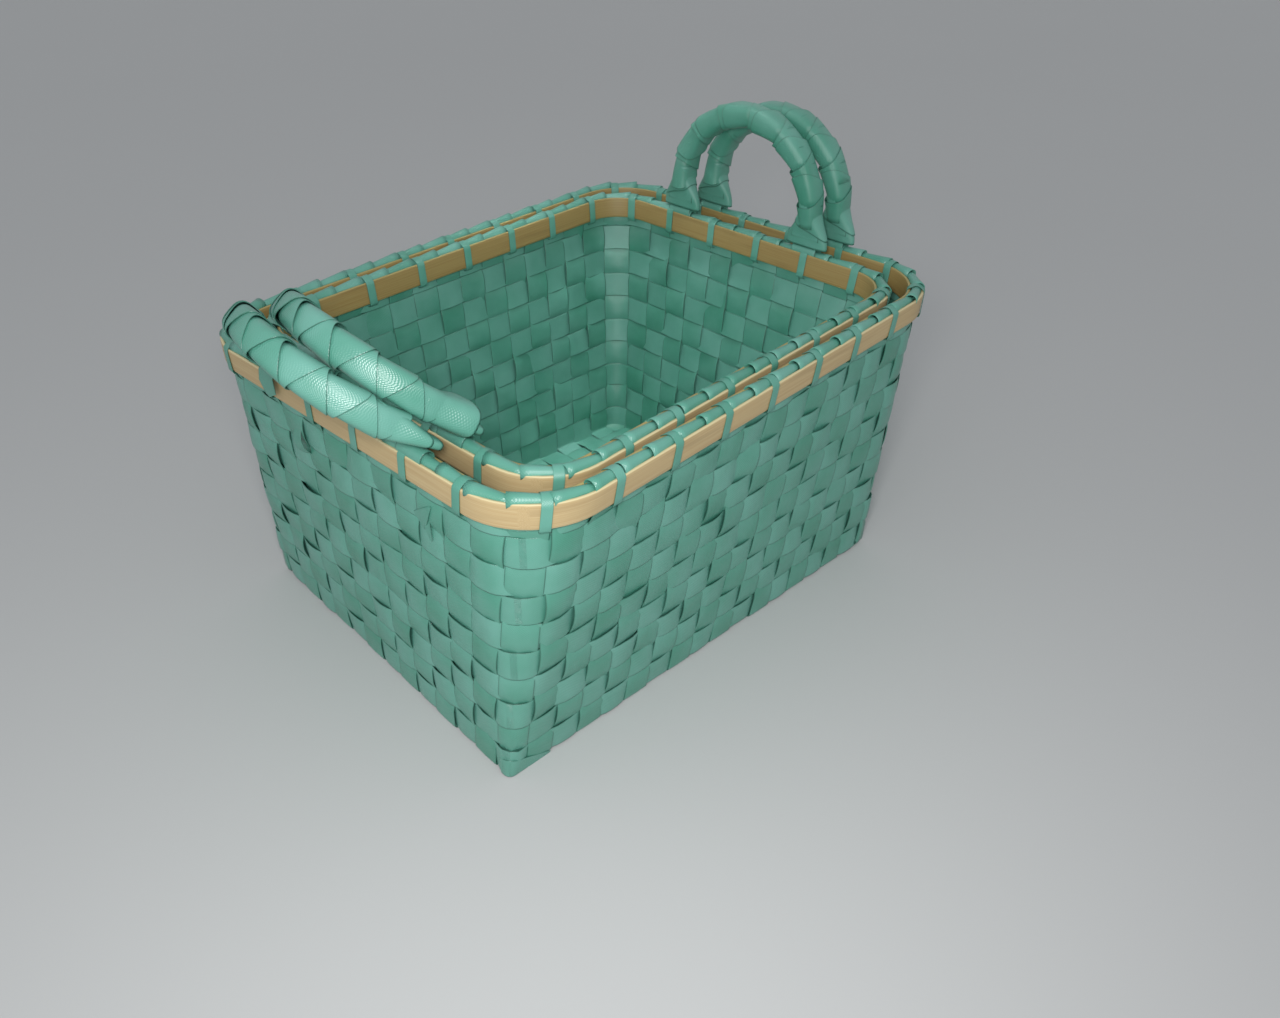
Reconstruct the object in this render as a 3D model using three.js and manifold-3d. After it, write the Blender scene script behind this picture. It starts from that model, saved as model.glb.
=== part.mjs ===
// A nested pair of rectangular baskets plaited from flat plastic strip.
// Each basket has two crossing sets of strips that turn up into stakes, fanned corner stakes,
// rings of weaver strip, a rim of two split-bamboo hoops with the stake ends folded between them,
// a lashing strip, and two wrapped arch handles that hinge on ties round the short sides of the rim.
// Millimetres, +Z up. The origin is the centre of the large basket's underside, X along the long side.
import * as THREE from 'three';
import { mergeVertices } from 'three/addons/utils/BufferGeometryUtils.js';
import Module from 'manifold-3d';

const wasm = await Module();
wasm.setup();

// Large basket, rim over the outer hoop and base over the weavers
const rimLength = 326;
const rimWidth = 259;
const rimHeight = 159.5;
const rimCornerRadius = 42;
const baseLength = 278;
const baseWidth = 221;
const baseCornerRadius = 12;

// Hand-made skew of the walls: the base is turned under the rim, which stands off the base's centre
const baseTurn = THREE.MathUtils.degToRad(-4.3);
const rimShiftX = 19;
const rimShiftY = 6;

// Small basket: how far its walls stand inside the large one's, and how much tighter its corners are
const nestGapLong = 20;
const nestGapShort = 13.5;
const nestRimCornerStep = 9;
const nestBaseCornerStep = 2.25;

// Strip
const stripThickness = 0.6;
const stakePitch = 16;
const stakeSlit = 0.8;
const slitStart = 12;
const courseWidth = 15.5;
const cornerFootHole = 1;

// Rim
const hoopHeight = 12.3;
const hoopThickness = 1.8;
const foldThickness = 2.5;
const foldRise = 2.8;
const foldShoulderShare = 0.3;
const foldCrownShare = 0.8;
const foldCrownWidthShare = 0.66;
const foldLegDepth = 10;
const stakeTopDrop = 2.5;
const lashingWidth = 5;
const lashingThickness = 0.4;
const lashingReveal = 1.4;
const lashingSpacing = 35;

// Handles
const handleSpan = 96;
const handleRise = 61.5;
const coreRadius = 4;
const wrapRadius = 7.5;
const knuckleRadius = 6;
const knuckleHalfWidth = 10;
const skirtStart = 8;
const skirtLength = 9;
const skirtHalfWidth = 11;
const tieWidth = 16;
const tieThickness = 0.5;
const tieDepth = 14;
const leftHandleShift = -10;
const largeLeftLean = THREE.MathUtils.degToRad(39);
const smallLeftLean = THREE.MathUtils.degToRad(35);

// Running clearance between touching pieces
const clearance = 0.3;

// Facet counts
const arcSpans = 4;
const sideSpans = 4;
const stakeRows = 2;
const handleSides = 8;
const archSpans = 12;
const knuckleRoundings = [80, 45, 0].map(THREE.MathUtils.degToRad);

// Wall layers, as offsets outwards from the stakes' inner face
const weaverIn = stripThickness + clearance;
const weaverOut = weaverIn + stripThickness;
const bandIn = weaverOut + clearance;
const bandOut = bandIn + lashingThickness;
const outerHoopIn = bandOut + clearance;
const outerHoopOut = outerHoopIn + hoopThickness;
const foldOut = -clearance;
const foldIn = foldOut - foldThickness;
const innerHoopOut = foldIn - clearance;
const innerHoopIn = innerHoopOut - hoopThickness;
const strapOut = outerHoopOut + clearance;
const strapIn = innerHoopIn - clearance;
const tieOut = strapOut + lashingThickness + clearance;
const tieIn = strapIn - lashingThickness - clearance;
const rimMiddle = (outerHoopOut + innerHoopIn) / 2;

// Heights shared by the rims and the handles
const hoopTop = rimHeight;
const hoopBottom = rimHeight - hoopHeight;
const stakeTop = rimHeight - stakeTopDrop;
const foldTop = rimHeight + foldRise;
const strapTop = foldTop + clearance + lashingThickness;
const tieTop = strapTop + clearance + tieThickness;
const hingeHeight = tieTop + clearance + knuckleRadius;
const floorStack = 2 * stripThickness + clearance;

// Finishes
const stripFinish = { color: 0x5fa18c, roughness: 0.45, metalness: 0 };
const bambooFinish = { color: 0xc9a678, roughness: 0.55, metalness: 0 };
const coreFinish = { color: 0x3f7566, roughness: 0.6, metalness: 0 };

const model = new THREE.Group();

// Closed solid from points and triangles, turned so that its faces point out
function closedGeometry(points, triangles) {
  let volume = 0;
  for (const [a, b, c] of triangles) {
    volume += points[a].dot(new THREE.Vector3().crossVectors(points[b], points[c]));
  }
  const index = triangles.flatMap(([a, b, c]) => (volume > 0 ? [a, b, c] : [a, c, b]));
  const geometry = new THREE.BufferGeometry();
  const coordinates = points.flatMap((p) => p.toArray());
  geometry.setAttribute('position', new THREE.Float32BufferAttribute(coordinates, 3));
  geometry.setIndex(index);
  return geometry;
}

// Triangles of a flat section, found in the plane that faces its normal
function sectionTriangles(section) {
  const normal = new THREE.Vector3();
  section.forEach((p, i) => {
    const q = section[(i + 1) % section.length];
    normal.add(new THREE.Vector3().crossVectors(p.clone().sub(section[0]), q.clone().sub(section[0])));
  });
  normal.normalize();
  const across = section[1].clone().sub(section[0]).normalize();
  const up = new THREE.Vector3().crossVectors(normal, across);
  const flat = section.map((p) => new THREE.Vector2(p.dot(across), p.dot(up)));
  return THREE.ShapeUtils.triangulateShape(flat, []);
}

// Triangles of a thin section whose points run along one face and back along the other
function bandTriangles(section) {
  const last = section.length - 1;
  const spans = section.length / 2 - 1;
  return Array.from({ length: spans }, (_, n) => [
    [n, n + 1, last - n - 1],
    [n, last - n - 1, last - n],
  ]).flat();
}

// Skin through like sections: a ring where closed, and otherwise a bar with its two ends capped
function loft(sections, closed, capTriangles = sectionTriangles) {
  const size = sections[0].length;
  const count = sections.length;
  const points = sections.flat();
  const triangles = [];
  const spans = closed ? count : count - 1;
  for (let i = 0; i < spans; i += 1) {
    const here = i * size;
    const next = ((i + 1) % count) * size;
    for (let j = 0; j < size; j += 1) {
      const k = (j + 1) % size;
      triangles.push([here + j, here + k, next + k], [here + j, next + k, next + j]);
    }
  }
  if (!closed) {
    const last = (count - 1) * size;
    const startCap = capTriangles(sections[0]);
    const endCap = capTriangles(sections[count - 1]);
    startCap.forEach(([a, b, c]) => triangles.push([a, c, b]));
    endCap.forEach(([a, b, c]) => triangles.push([last + a, last + b, last + c]));
  }
  return closedGeometry(points, triangles);
}

function toManifold(geometry) {
  const merged = mergeVertices(geometry.clone(), 1e-5);
  return new wasm.Manifold(new wasm.Mesh({
    numProp: 3,
    vertProperties: Float32Array.from(merged.attributes.position.array),
    triVerts: Uint32Array.from(merged.index.array),
  }));
}

function fromManifold(solid) {
  const mesh = solid.getMesh();
  const geometry = new THREE.BufferGeometry();
  geometry.setAttribute('position', new THREE.BufferAttribute(Float32Array.from(mesh.vertProperties), 3));
  geometry.setIndex(new THREE.BufferAttribute(Uint32Array.from(mesh.triVerts), 1));
  return geometry;
}

function addMesh(parent, name, geometry, finish) {
  geometry.computeVertexNormals();
  const mesh = new THREE.Mesh(geometry, new THREE.MeshStandardMaterial(finish));
  mesh.name = name;
  parent.add(mesh);
}

// Wall surface of one basket: a rounded rectangle at every height, from the floor to the rim.
// Corners run front-left, front-right, back-right, back-left, and side n follows corner n.
function wallSurface(insetLong, insetShort, rimCornerStep, baseCornerStep) {
  const base = {
    length: baseLength - 2 * (weaverOut + insetLong),
    width: baseWidth - 2 * (weaverOut + insetShort),
    radius: baseCornerRadius - weaverOut - baseCornerStep,
  };
  const rim = {
    length: rimLength - 2 * (outerHoopOut + insetLong),
    width: rimWidth - 2 * (outerHoopOut + insetShort),
    radius: rimCornerRadius - outerHoopOut - rimCornerStep,
  };
  const cornerSigns = [[-1, -1], [1, -1], [1, 1], [-1, 1]];
  const quarterSpans = arcSpans + sideSpans;
  const stationCount = 4 * quarterSpans;

  function level(z) {
    const t = z / rimHeight;
    const mix = (key) => THREE.MathUtils.lerp(base[key], rim[key], t);
    return {
      length: mix('length'),
      width: mix('width'),
      radius: mix('radius'),
      x: rimShiftX * t,
      y: rimShiftY * t,
      turn: baseTurn * (1 - t),
    };
  }

  // Point on a rounded corner at one step of its arc, at a height and an offset outwards
  function cornerPoint(corner, step, z, offset) {
    const angle = Math.PI * (1 + corner / 2) + (Math.PI / 2) * (step / arcSpans);
    const [sx, sy] = cornerSigns[corner];
    const at = level(z);
    const reach = at.radius + offset;
    const flat = new THREE.Vector2(
      sx * (at.length / 2 - at.radius) + reach * Math.cos(angle),
      sy * (at.width / 2 - at.radius) + reach * Math.sin(angle),
    );
    flat.rotateAround(new THREE.Vector2(0, 0), at.turn);
    return new THREE.Vector3(at.x + flat.x, at.y + flat.y, z);
  }

  // Point on the outline at one station, at a height and an offset outwards
  function station(number, z, offset) {
    const wrapped = THREE.MathUtils.euclideanModulo(number, stationCount);
    const corner = Math.floor(wrapped / quarterSpans);
    const step = wrapped % quarterSpans;
    if (step <= arcSpans) return cornerPoint(corner, step, z, offset);
    const start = cornerPoint(corner, arcSpans, z, offset);
    const end = cornerPoint((corner + 1) % 4, 0, z, offset);
    return start.lerp(end, (step - arcSpans) / sideSpans);
  }

  // Point between stations, on the straight line that joins them
  function point(place, z, offset) {
    const low = Math.floor(place);
    return station(low, z, offset).lerp(station(low + 1, z, offset), place - low);
  }

  // Places from start to end, with every station that lies between
  function places(start, end) {
    const list = [start];
    for (let n = Math.floor(start) + 1; n < end; n += 1) list.push(n);
    return [...list, end];
  }

  const cornerStart = (corner) => corner * quarterSpans;
  const sideStart = (side) => cornerStart(side) + arcSpans;

  // Place at a share of one straight side
  const sidePlace = (side, share) => sideStart(side) + sideSpans * share;

  function sideLength(side, z) {
    return station(sideStart(side), z, 0).distanceTo(station(sideStart(side) + sideSpans, z, 0));
  }

  // Place on a short side at a given Y at the rim
  function placeAtY(side, y) {
    const from = station(sideStart(side), rimHeight, 0).y;
    const to = station(sideStart(side) + sideSpans, rimHeight, 0).y;
    return sidePlace(side, (y - from) / (to - from));
  }

  // Bands of one width at even distances round the rim, each as its two end places
  function evenBands(spacing, width) {
    const lengths = [];
    for (let n = 0; n < stationCount; n += 1) {
      lengths.push(station(n, rimHeight, 0).distanceTo(station(n + 1, rimHeight, 0)));
    }
    const round = lengths.reduce((sum, length) => sum + length, 0);
    const count = Math.round(round / spacing);
    const placeAt = (distance) => {
      let left = ((distance % round) + round) % round;
      let n = 0;
      while (left > lengths[n]) {
        left -= lengths[n];
        n += 1;
      }
      return n + left / lengths[n];
    };
    return Array.from({ length: count }, (_, k) => {
      const middle = ((k + 0.5) * round) / count;
      const start = placeAt(middle - width / 2);
      const end = placeAt(middle + width / 2);
      return [start, end < start ? end + stationCount : end];
    });
  }

  return {
    point, station, places, cornerStart, sidePlace, sideLength, placeAtY, evenBands, stationCount, rim, base,
  };
}

// Ring of a constant section, given as [offset, height] pairs
function ring(wall, section) {
  const sections = [];
  for (let n = 0; n < wall.stationCount; n += 1) {
    sections.push(section.map(([offset, z]) => wall.station(n, z, offset)));
  }
  return loft(sections, true);
}

// Bar of a constant section over part of the outline
function arcBar(wall, start, end, section, capTriangles) {
  const places = wall.places(start, end);
  const sections = places.map((place) => section.map(([offset, z]) => wall.point(place, z, offset)));
  return loft(sections, false, capTriangles);
}

function bandSection(inner, outer, bottom, top) {
  return [[inner, bottom], [outer, bottom], [outer, top], [inner, top]];
}

// Heights of the rows that divide a stake, from the floor up to its top
function stakeHeights(floor) {
  const shares = Array.from({ length: stakeRows + 1 }, (_, n) => n / stakeRows);
  return shares.map((share) => THREE.MathUtils.lerp(floor, stakeTop, share));
}

// One set of strips: up one wall, across the base and up the wall opposite, slit into stakes
function stripSet(wall, side, underside) {
  const opposite = (side + 2) % 4;
  const upper = underside + stripThickness;
  const length = wall.sideLength(side, underside);
  const stakes = Math.round(length / stakePitch);
  const margin = clearance / 2 / length;
  const edges = Array.from({ length: stakes + 1 }, (_, k) => k / stakes);
  const shares = edges.map((share) => THREE.MathUtils.clamp(share, margin, 1 - margin));
  const row = (s, outerZ, innerZ) => {
    const outer = shares.map((share) => wall.point(wall.sidePlace(s, share), outerZ, stripThickness));
    const inner = shares.map((share) => wall.point(wall.sidePlace(s, share), innerZ, 0));
    return s === side ? [...outer, ...inner.reverse()] : [...outer.reverse(), ...inner];
  };
  const rows = (s) => stakeHeights(underside).map((z, n) => row(s, z, n === 0 ? upper : z));
  const sheet = loft([...rows(side).reverse(), ...rows(opposite)], false, bandTriangles);
  const slitOut = stripThickness + clearance;
  const slitIn = -clearance;
  const half = stakeSlit / 2 / length;
  const slits = [side, opposite].flatMap((s) => edges.slice(1, -1).map((share) => {
    const left = wall.sidePlace(s, share - half);
    const right = wall.sidePlace(s, share + half);
    const level = (z) => [
      wall.point(left, z, slitOut),
      wall.point(right, z, slitOut),
      wall.point(right, z, slitIn),
      wall.point(left, z, slitIn),
    ];
    const heights = [underside + slitStart, ...stakeHeights(underside).slice(1, -1), hoopTop];
    return toManifold(loft(heights.map(level), false));
  }));
  return fromManifold(slits.reduce((solid, slit) => solid.subtract(slit), toManifold(sheet)));
}

// Fan of stakes round one corner, with a foot that closes the base's corner
function cornerStake(wall, corner, underside) {
  const first = wall.cornerStart(corner);
  const upper = underside + stripThickness;
  const reach = cornerFootHole - wall.base.radius;
  const outer = [[reach, underside], ...stakeHeights(underside).map((z) => [stripThickness, z])];
  const inner = [[reach, upper], ...stakeHeights(upper).map((z) => [0, z])];
  return arcBar(wall, first, first + arcSpans, [...outer, ...inner.reverse()], bandTriangles);
}

// Stake ends folded over between the hoops: a rounded cap with a leg inside the stakes
function foldSection() {
  const seat = stakeTop + clearance;
  const shoulder = hoopTop + foldRise * foldShoulderShare;
  const crown = hoopTop + foldRise * foldCrownShare;
  const middle = (foldIn + bandOut) / 2;
  const halfCrown = (foldCrownWidthShare * (bandOut - foldIn)) / 2;
  return [
    [foldIn, hoopTop - foldLegDepth],
    [foldOut, hoopTop - foldLegDepth],
    [foldOut, seat],
    [bandOut, seat],
    [bandOut, shoulder],
    [middle + halfCrown, crown],
    [middle, foldTop],
    [middle - halfCrown, crown],
    [foldIn, shoulder],
  ];
}

// Strap over the rim: up the outside, over the fold and down the inside
function strapSection(outer, inner, crest, thickness, outerFoot, innerBottom) {
  const shoulder = crest - foldRise;
  const bevel = thickness / 2;
  return [
    ...outerFoot,
    [outer, shoulder],
    [bandOut, crest],
    [foldIn, crest],
    [inner, shoulder],
    [inner, innerBottom],
    [inner - thickness, innerBottom],
    [inner - thickness, shoulder + bevel],
    [foldIn - bevel, crest + thickness],
    [bandOut + bevel, crest + thickness],
    [outer + thickness, shoulder + bevel],
  ];
}

// Lashing: a band behind the outer hoop that comes out under it and loops over the rim
function lashing(wall) {
  const foot = hoopBottom - clearance;
  const bandMiddle = (bandIn + bandOut) / 2;
  const outerFoot = [
    [strapOut + lashingThickness, foot - lashingThickness],
    [bandMiddle, foot - lashingThickness],
    [bandMiddle, foot],
    [strapOut, foot],
  ];
  const section = strapSection(strapOut, strapIn, foldTop + clearance, lashingThickness, outerFoot, foot);
  const band = ring(wall, bandSection(bandIn, bandOut, hoopBottom - lashingReveal, stakeTop));
  const places = wall.evenBands(lashingSpacing, lashingWidth);
  const loops = places.map(([start, end]) => toManifold(arcBar(wall, start, end, section)));
  return fromManifold(loops.reduce((solid, loop) => solid.add(loop), toManifold(band)));
}

// Tie under one handle foot, over the lashing
function handleTie(wall, side, y) {
  const bottom = hoopTop - tieDepth;
  const outerFoot = [[tieOut + tieThickness, bottom], [tieOut, bottom]];
  const section = strapSection(tieOut, tieIn, strapTop + clearance, tieThickness, outerFoot, bottom);
  const edges = [wall.placeAtY(side, y - tieWidth / 2), wall.placeAtY(side, y + tieWidth / 2)];
  return arcBar(wall, Math.min(...edges), Math.max(...edges), section);
}

// Centre line of a handle in its own plane: [along the span, above the hinge, direction of travel]
function archPath() {
  const radius = handleSpan / 2;
  const legTop = handleRise - radius;
  return Array.from({ length: archSpans + 1 }, (_, n) => {
    const angle = Math.PI * (1 - n / archSpans);
    return [radius * Math.cos(angle), legTop + radius * Math.sin(angle), angle - Math.PI / 2];
  });
}

// Handle section: an eight-sided ring, square to the path
function handleRing([along, height, direction], halfThickness, halfWidth) {
  return Array.from({ length: handleSides }, (_, k) => {
    const angle = (2 * Math.PI * (k + 0.5)) / handleSides;
    const inPlane = halfWidth * Math.cos(angle);
    return new THREE.Vector3(
      halfThickness * Math.sin(angle),
      along - inPlane * Math.sin(direction),
      height + inPlane * Math.cos(direction),
    );
  });
}

// Stations of one leg, from the foot up, on the side of the given sign
function legPlaces(heights, sign) {
  const direction = (-sign * Math.PI) / 2;
  const list = heights.map((height) => [(sign * handleSpan) / 2, height, direction]);
  return sign < 0 ? list : list.reverse();
}

// Core: a rod along the arch whose ends spread into the knuckles that turn on the ties
function handleCore() {
  const foot = knuckleRoundings.map((angle) => [
    -knuckleRadius * Math.sin(angle),
    knuckleRadius * Math.cos(angle),
    knuckleHalfWidth,
  ]);
  foot.push([skirtStart - clearance, coreRadius, coreRadius]);
  const legSections = (sign) => {
    const places = legPlaces(foot.map(([height]) => height), sign);
    const sizes = sign < 0 ? foot : [...foot].reverse();
    return places.map((place, n) => handleRing(place, sizes[n][1], sizes[n][2]));
  };
  const arch = archPath().map((place) => handleRing(place, coreRadius, coreRadius));
  return loft([...legSections(-1), ...arch, ...legSections(1)], false);
}

// Wrap: a sleeve round the core that flares into a skirt over each knuckle
function handleWrap() {
  const bore = coreRadius + clearance / Math.cos(Math.PI / handleSides);
  const stations = [
    ...legPlaces([skirtStart], -1),
    ...archPath(),
    ...legPlaces([skirtStart], 1),
  ];
  const reach = (height) => Math.max(0, 1 - (height - skirtStart) / skirtLength);
  const outer = stations.map((place) => {
    const flare = reach(place[1]) * (skirtHalfWidth - wrapRadius);
    return handleRing(place, wrapRadius, wrapRadius + flare);
  });
  const inner = stations.map((place) => handleRing(place, bore, bore));
  const staves = Array.from({ length: handleSides }, (_, k) => [
    ...outer.map((section) => section[k]),
    ...inner.map((section) => section[k]).reverse(),
  ]);
  return loft(staves, true);
}

// One handle: the group stands on its hinge and leans outwards
function addHandle(wall, basket, sideName, lean, shift) {
  const side = sideName === 'left' ? 3 : 1;
  const outwards = sideName === 'left' ? -1 : 1;
  const middle = rimShiftY + shift;
  const hinge = new THREE.Group();
  hinge.position.set(rimShiftX + outwards * (wall.rim.length / 2 + rimMiddle), middle, hingeHeight);
  hinge.rotation.y = outwards * lean;
  const name = `${basket}_${sideName}_handle`;
  addMesh(hinge, `${name}_core`, handleCore(), coreFinish);
  addMesh(hinge, `${name}_wrap`, handleWrap(), stripFinish);
  model.add(hinge);
  addMesh(model, `${name}_front_tie`, handleTie(wall, side, middle - handleSpan / 2), stripFinish);
  addMesh(model, `${name}_back_tie`, handleTie(wall, side, middle + handleSpan / 2), stripFinish);
}

function addBasket(basket, wall, underside) {
  addMesh(model, `${basket}_lengthwise_strips`, stripSet(wall, 3, underside), stripFinish);
  const secondLayer = underside + stripThickness + clearance;
  addMesh(model, `${basket}_crosswise_strips`, stripSet(wall, 0, secondLayer), stripFinish);
  ['front_left', 'front_right', 'back_right', 'back_left'].forEach((place, corner) => {
    addMesh(model, `${basket}_${place}_corner_stake`, cornerStake(wall, corner, underside), stripFinish);
  });
  const lowest = underside + clearance;
  const courses = Math.round((stakeTop - lowest) / courseWidth);
  const course = (stakeTop - lowest) / courses;
  for (let n = 0; n < courses; n += 1) {
    const bottom = lowest + n * course;
    const section = bandSection(weaverIn, weaverOut, bottom, bottom + course - clearance);
    addMesh(model, `${basket}_weaver_${n + 1}`, ring(wall, section), stripFinish);
  }
  const outerHoop = bandSection(outerHoopIn, outerHoopOut, hoopBottom, hoopTop);
  const innerHoop = bandSection(innerHoopIn, innerHoopOut, hoopBottom, hoopTop);
  addMesh(model, `${basket}_outer_hoop`, ring(wall, outerHoop), bambooFinish);
  addMesh(model, `${basket}_inner_hoop`, ring(wall, innerHoop), bambooFinish);
  addMesh(model, `${basket}_rim_fold`, ring(wall, foldSection()), stripFinish);
  addMesh(model, `${basket}_rim_lashing`, lashing(wall), stripFinish);
}

const largeWall = wallSurface(0, 0, 0, 0);
const smallWall = wallSurface(nestGapLong, nestGapShort, nestRimCornerStep, nestBaseCornerStep);
addBasket('large', largeWall, 0);
addBasket('small', smallWall, floorStack + clearance);
addHandle(largeWall, 'large', 'left', largeLeftLean, leftHandleShift);
addHandle(largeWall, 'large', 'right', 0, 0);
addHandle(smallWall, 'small', 'left', smallLeftLean, leftHandleShift);
addHandle(smallWall, 'small', 'right', 0, 0);

export default model;
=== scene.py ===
"""Looks of a nested pair of plaited strip baskets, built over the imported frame.

Every strip, hoop, strap and tail is a path with an outward direction at each point, and one
Geometry Nodes tree gives the paths their flat section. A second tree repeats the rolled stake ends
round the rims and the wrapped turns along the handles. The skirts on the handles' feet are sheets of
their own. Lengths are metres, in the frame's own axes.
"""

import math

import bpy
import numpy as np
from bpy.props import FloatProperty, FloatVectorProperty, IntProperty, PointerProperty
from bpy.types import Operator, Panel, PropertyGroup
from mathutils import Matrix


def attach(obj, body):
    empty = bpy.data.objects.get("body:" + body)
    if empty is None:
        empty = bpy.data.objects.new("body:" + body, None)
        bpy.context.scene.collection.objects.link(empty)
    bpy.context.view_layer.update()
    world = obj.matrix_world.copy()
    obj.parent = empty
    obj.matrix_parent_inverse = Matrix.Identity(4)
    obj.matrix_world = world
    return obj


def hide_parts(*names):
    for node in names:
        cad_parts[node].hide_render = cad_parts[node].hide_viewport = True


bl_info = {
    "name": "Nested Plaited Baskets",
    "version": (1, 0, 0),
    "blender": (4, 5, 0),
    "location": "View3D > Sidebar > Baskets",
    "description": "Dresses a nested pair of plaited strip baskets over their frame",
    "category": "Add Mesh",
}

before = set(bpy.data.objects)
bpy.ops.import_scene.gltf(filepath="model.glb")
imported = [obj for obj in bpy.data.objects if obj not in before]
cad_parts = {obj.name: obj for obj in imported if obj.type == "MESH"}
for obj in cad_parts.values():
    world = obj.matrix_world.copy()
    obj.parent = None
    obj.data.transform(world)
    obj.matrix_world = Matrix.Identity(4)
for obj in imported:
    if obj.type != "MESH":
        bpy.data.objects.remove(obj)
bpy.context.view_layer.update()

MM = 0.001
UP = np.array([0.0, 0.0, 1.0])

RIM_HEIGHT = 159.5 * MM
# Hand-made skew: how far the rims stand off the floors' middle, and the floors' turn in degrees
RIM_SHIFT = np.array([19.0, 6.0]) * MM
FLOOR_TURN = -4.3
# Walls: length, width and corner radius of the plait's inner face at the floor and at the rim,
# the height of the floor's middle layer, and the stakes along a long and a short side
BASKETS = {
    "large": {
        "floor": np.array([275.0, 218.0, 1.5]) * MM,
        "rim": np.array([317.4, 250.4, 37.7]) * MM,
        "floor_height": 1.1 * MM,
        "stakes": (17, 13),
    },
    "small": {
        "floor": np.array([235.0, 191.0, 5.0]) * MM,
        "rim": np.array([277.4, 223.4, 28.7]) * MM,
        "floor_height": 3.2 * MM,
        "stakes": (15, 12),
    },
}
CORNER_NAMES = ("front_left", "front_right", "back_right", "back_left")

# Weaver courses: their number and the heights that they fill
COURSES = 10
COURSE_START = 1.3 * MM
COURSE_END = 157.0 * MM
# How far the stakes reach over the topmost course
STAKE_END = 1.5 * MM
# Share of the room between its neighbours that a stake fills
STAKE_FILL = 0.985
# Offset of the plait's middle from its inner face
PLAIT_MIDDLE = 0.75 * MM
# Points on a strip's line from one crossing to the next, and on a hoop's from one stake to the next
PLAIT_SAMPLES = 6
HOOP_SAMPLES = 4
# How quickly a strip swings from one crossing to the next, and its turn about its line at full slack
SWING_SPEED = 1.6
TWIST = 0.14
# Reach of the bend from the wall to the floor, and of the stretch past it in which a strip lies calmer
FLOOR_BEND = 1.4 * MM
CALM_REACH = 6.0 * MM
# How far a corner stake reaches under the floor
CORNER_TURN = 12.0 * MM
# Shades from 0 to 1 of the stakes and weavers, the weavers' paler shades being painted sheen, and how
# much paler the strips are on the floors as painted light
STAKE_TINTS = (0.0, 0.5)
WEAVER_TINTS_AND_SHEEN = (0.5, 1.0)
FLOOR_PAINTED_LIGHT = 0.6
# Where the painted shade along a strip's edges starts and is full, as squared shares of its half width
SHADED_EDGE_START = 0.87
SHADED_EDGE_END = 0.99

# Hoops: name, offset from the plait's inner face, and age from 0 to 1
HOOPS = (("outer_hoop", 3.4 * MM, 0.0), ("inner_hoop", -4.0 * MM, 1.0))
# Rolled stake ends: offset of their middle from the plait's inner face, drop under the rim's height,
# overlap, spread of their sizes, tilt and shades
RIM_MIDDLE = -0.3 * MM
ROLL_DROP = 0.5 * MM
ROLL_OVERLAP = 2.5 * MM
ROLL_SIZES = (0.95, 1.06)
ROLL_TILT = 0.05
ROLL_TINTS = (0.3, 1.0)
# Lashing straps: the first one's place and the step between them in stakes, how far they stray, and shades
STRAP_START = 0.28
STRAP_STEP = 2.0
STRAP_STRAY = 0.06
STRAP_TINTS = (0.2, 0.7)
# Lashing strip along the rim: height over the hoop's lower edge, its rise and fall, and offset from the wall
RUN_HEIGHT = 0.6 * MM
RUN_SWAY = 0.5 * MM
RUN_OFFSET = 2.1 * MM
RUN_TINT = 0.4

# Handles: basket, side, lean outwards and how much that changes from the middle to a foot, both in
# degrees, shift along the side, distance between the legs and height of the arch over its hinge
HANDLES = (
    ("large", "left", 41.0, 8.0, -5.0 * MM, 96.0 * MM, 53.0 * MM),
    ("large", "right", 2.0, 0.0, -5.0 * MM, 93.0 * MM, 57.0 * MM),
    ("small", "left", 39.8, 6.3, -9.0 * MM, 94.0 * MM, 53.0 * MM),
    ("small", "right", 2.0, 0.0, 3.0 * MM, 97.0 * MM, 59.0 * MM),
)
HINGE_HEIGHT = 170.1 * MM
# Wrapped turns: shades from 0 to 1, paler on the left handles as painted sheen, step at a turn's edge,
# and bend as a multiple of the arch's radius
TURN_TINTS_AND_SHEEN = {"left": (0.5, 1.0), "right": (0.0, 0.4)}
TURN_STEPS = {"left": 0.6 * MM, "right": 1.1 * MM}
TURN_RADII = {"left": 1.0, "right": 2.0}
# Where the wrapping starts over the hinge, how far a turn runs on under the next and sinks there, the
# spread of the turns' sizes, and their size at the feet as a share of that at the top
WRAP_START = 11.0 * MM
TURN_OVERLAP = 1.5 * MM
TURN_SINK = 0.6 * MM
TURN_SIZES = (0.97, 1.05)
TURN_AT_FEET = 0.88
# Skirts over the handles' feet: height of the hem over the hinge, its slant, the skirt's distance from
# the layer under it and its depth at the hem, inwards and outwards; one foot has a wide bell on top
UNDER_SKIRT = (-6.1 * MM, 0.0, 0.0, 2.8 * MM, 2.8 * MM)
OVER_SKIRT = (4.5 * MM, -5.0 * MM, 0.5 * MM, 2.8 * MM, 2.8 * MM)
BELL_SKIRT = (0.5 * MM, -2.0 * MM, 0.5 * MM, 9.5 * MM, 6.0 * MM)
BELL_FOOT = "small_left_handle_front"
# Height of the skirts' upper ends, where they start to open and over what height, half their length
# along the rim when fully open, and half their size at the top as a share of the handle's section
SKIRT_TOP = 21.0 * MM
FLARE_TOP = 17.0 * MM
FLARE_HEIGHT = 21.5 * MM
FLARE_LENGTH = 14.0 * MM
SKIRT_SHARE = 0.42
# Looped legs in the skirts: radius of the loop, half the distance of the legs, their height and width;
# then the saddles under them, and what both have in common
LEG_LOOP = 3.0 * MM
LEG_OFFSET = 2.6 * MM
LEG_HEIGHT = 4.0 * MM
LEG_WIDTH = 19.0 * MM
LEG_TINT = 0.8
SADDLE_WIDTH = 17.0 * MM
FOOT_THICKNESS = 0.5 * MM
# Shade of the skirts and saddles
FOOT_TINT = 0.7
# Thickness of the wrapping strip, and a handle's girth as a multiple of its half width
WRAP_THICKNESS = 0.4 * MM
GIRTH = 6.3


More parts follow.
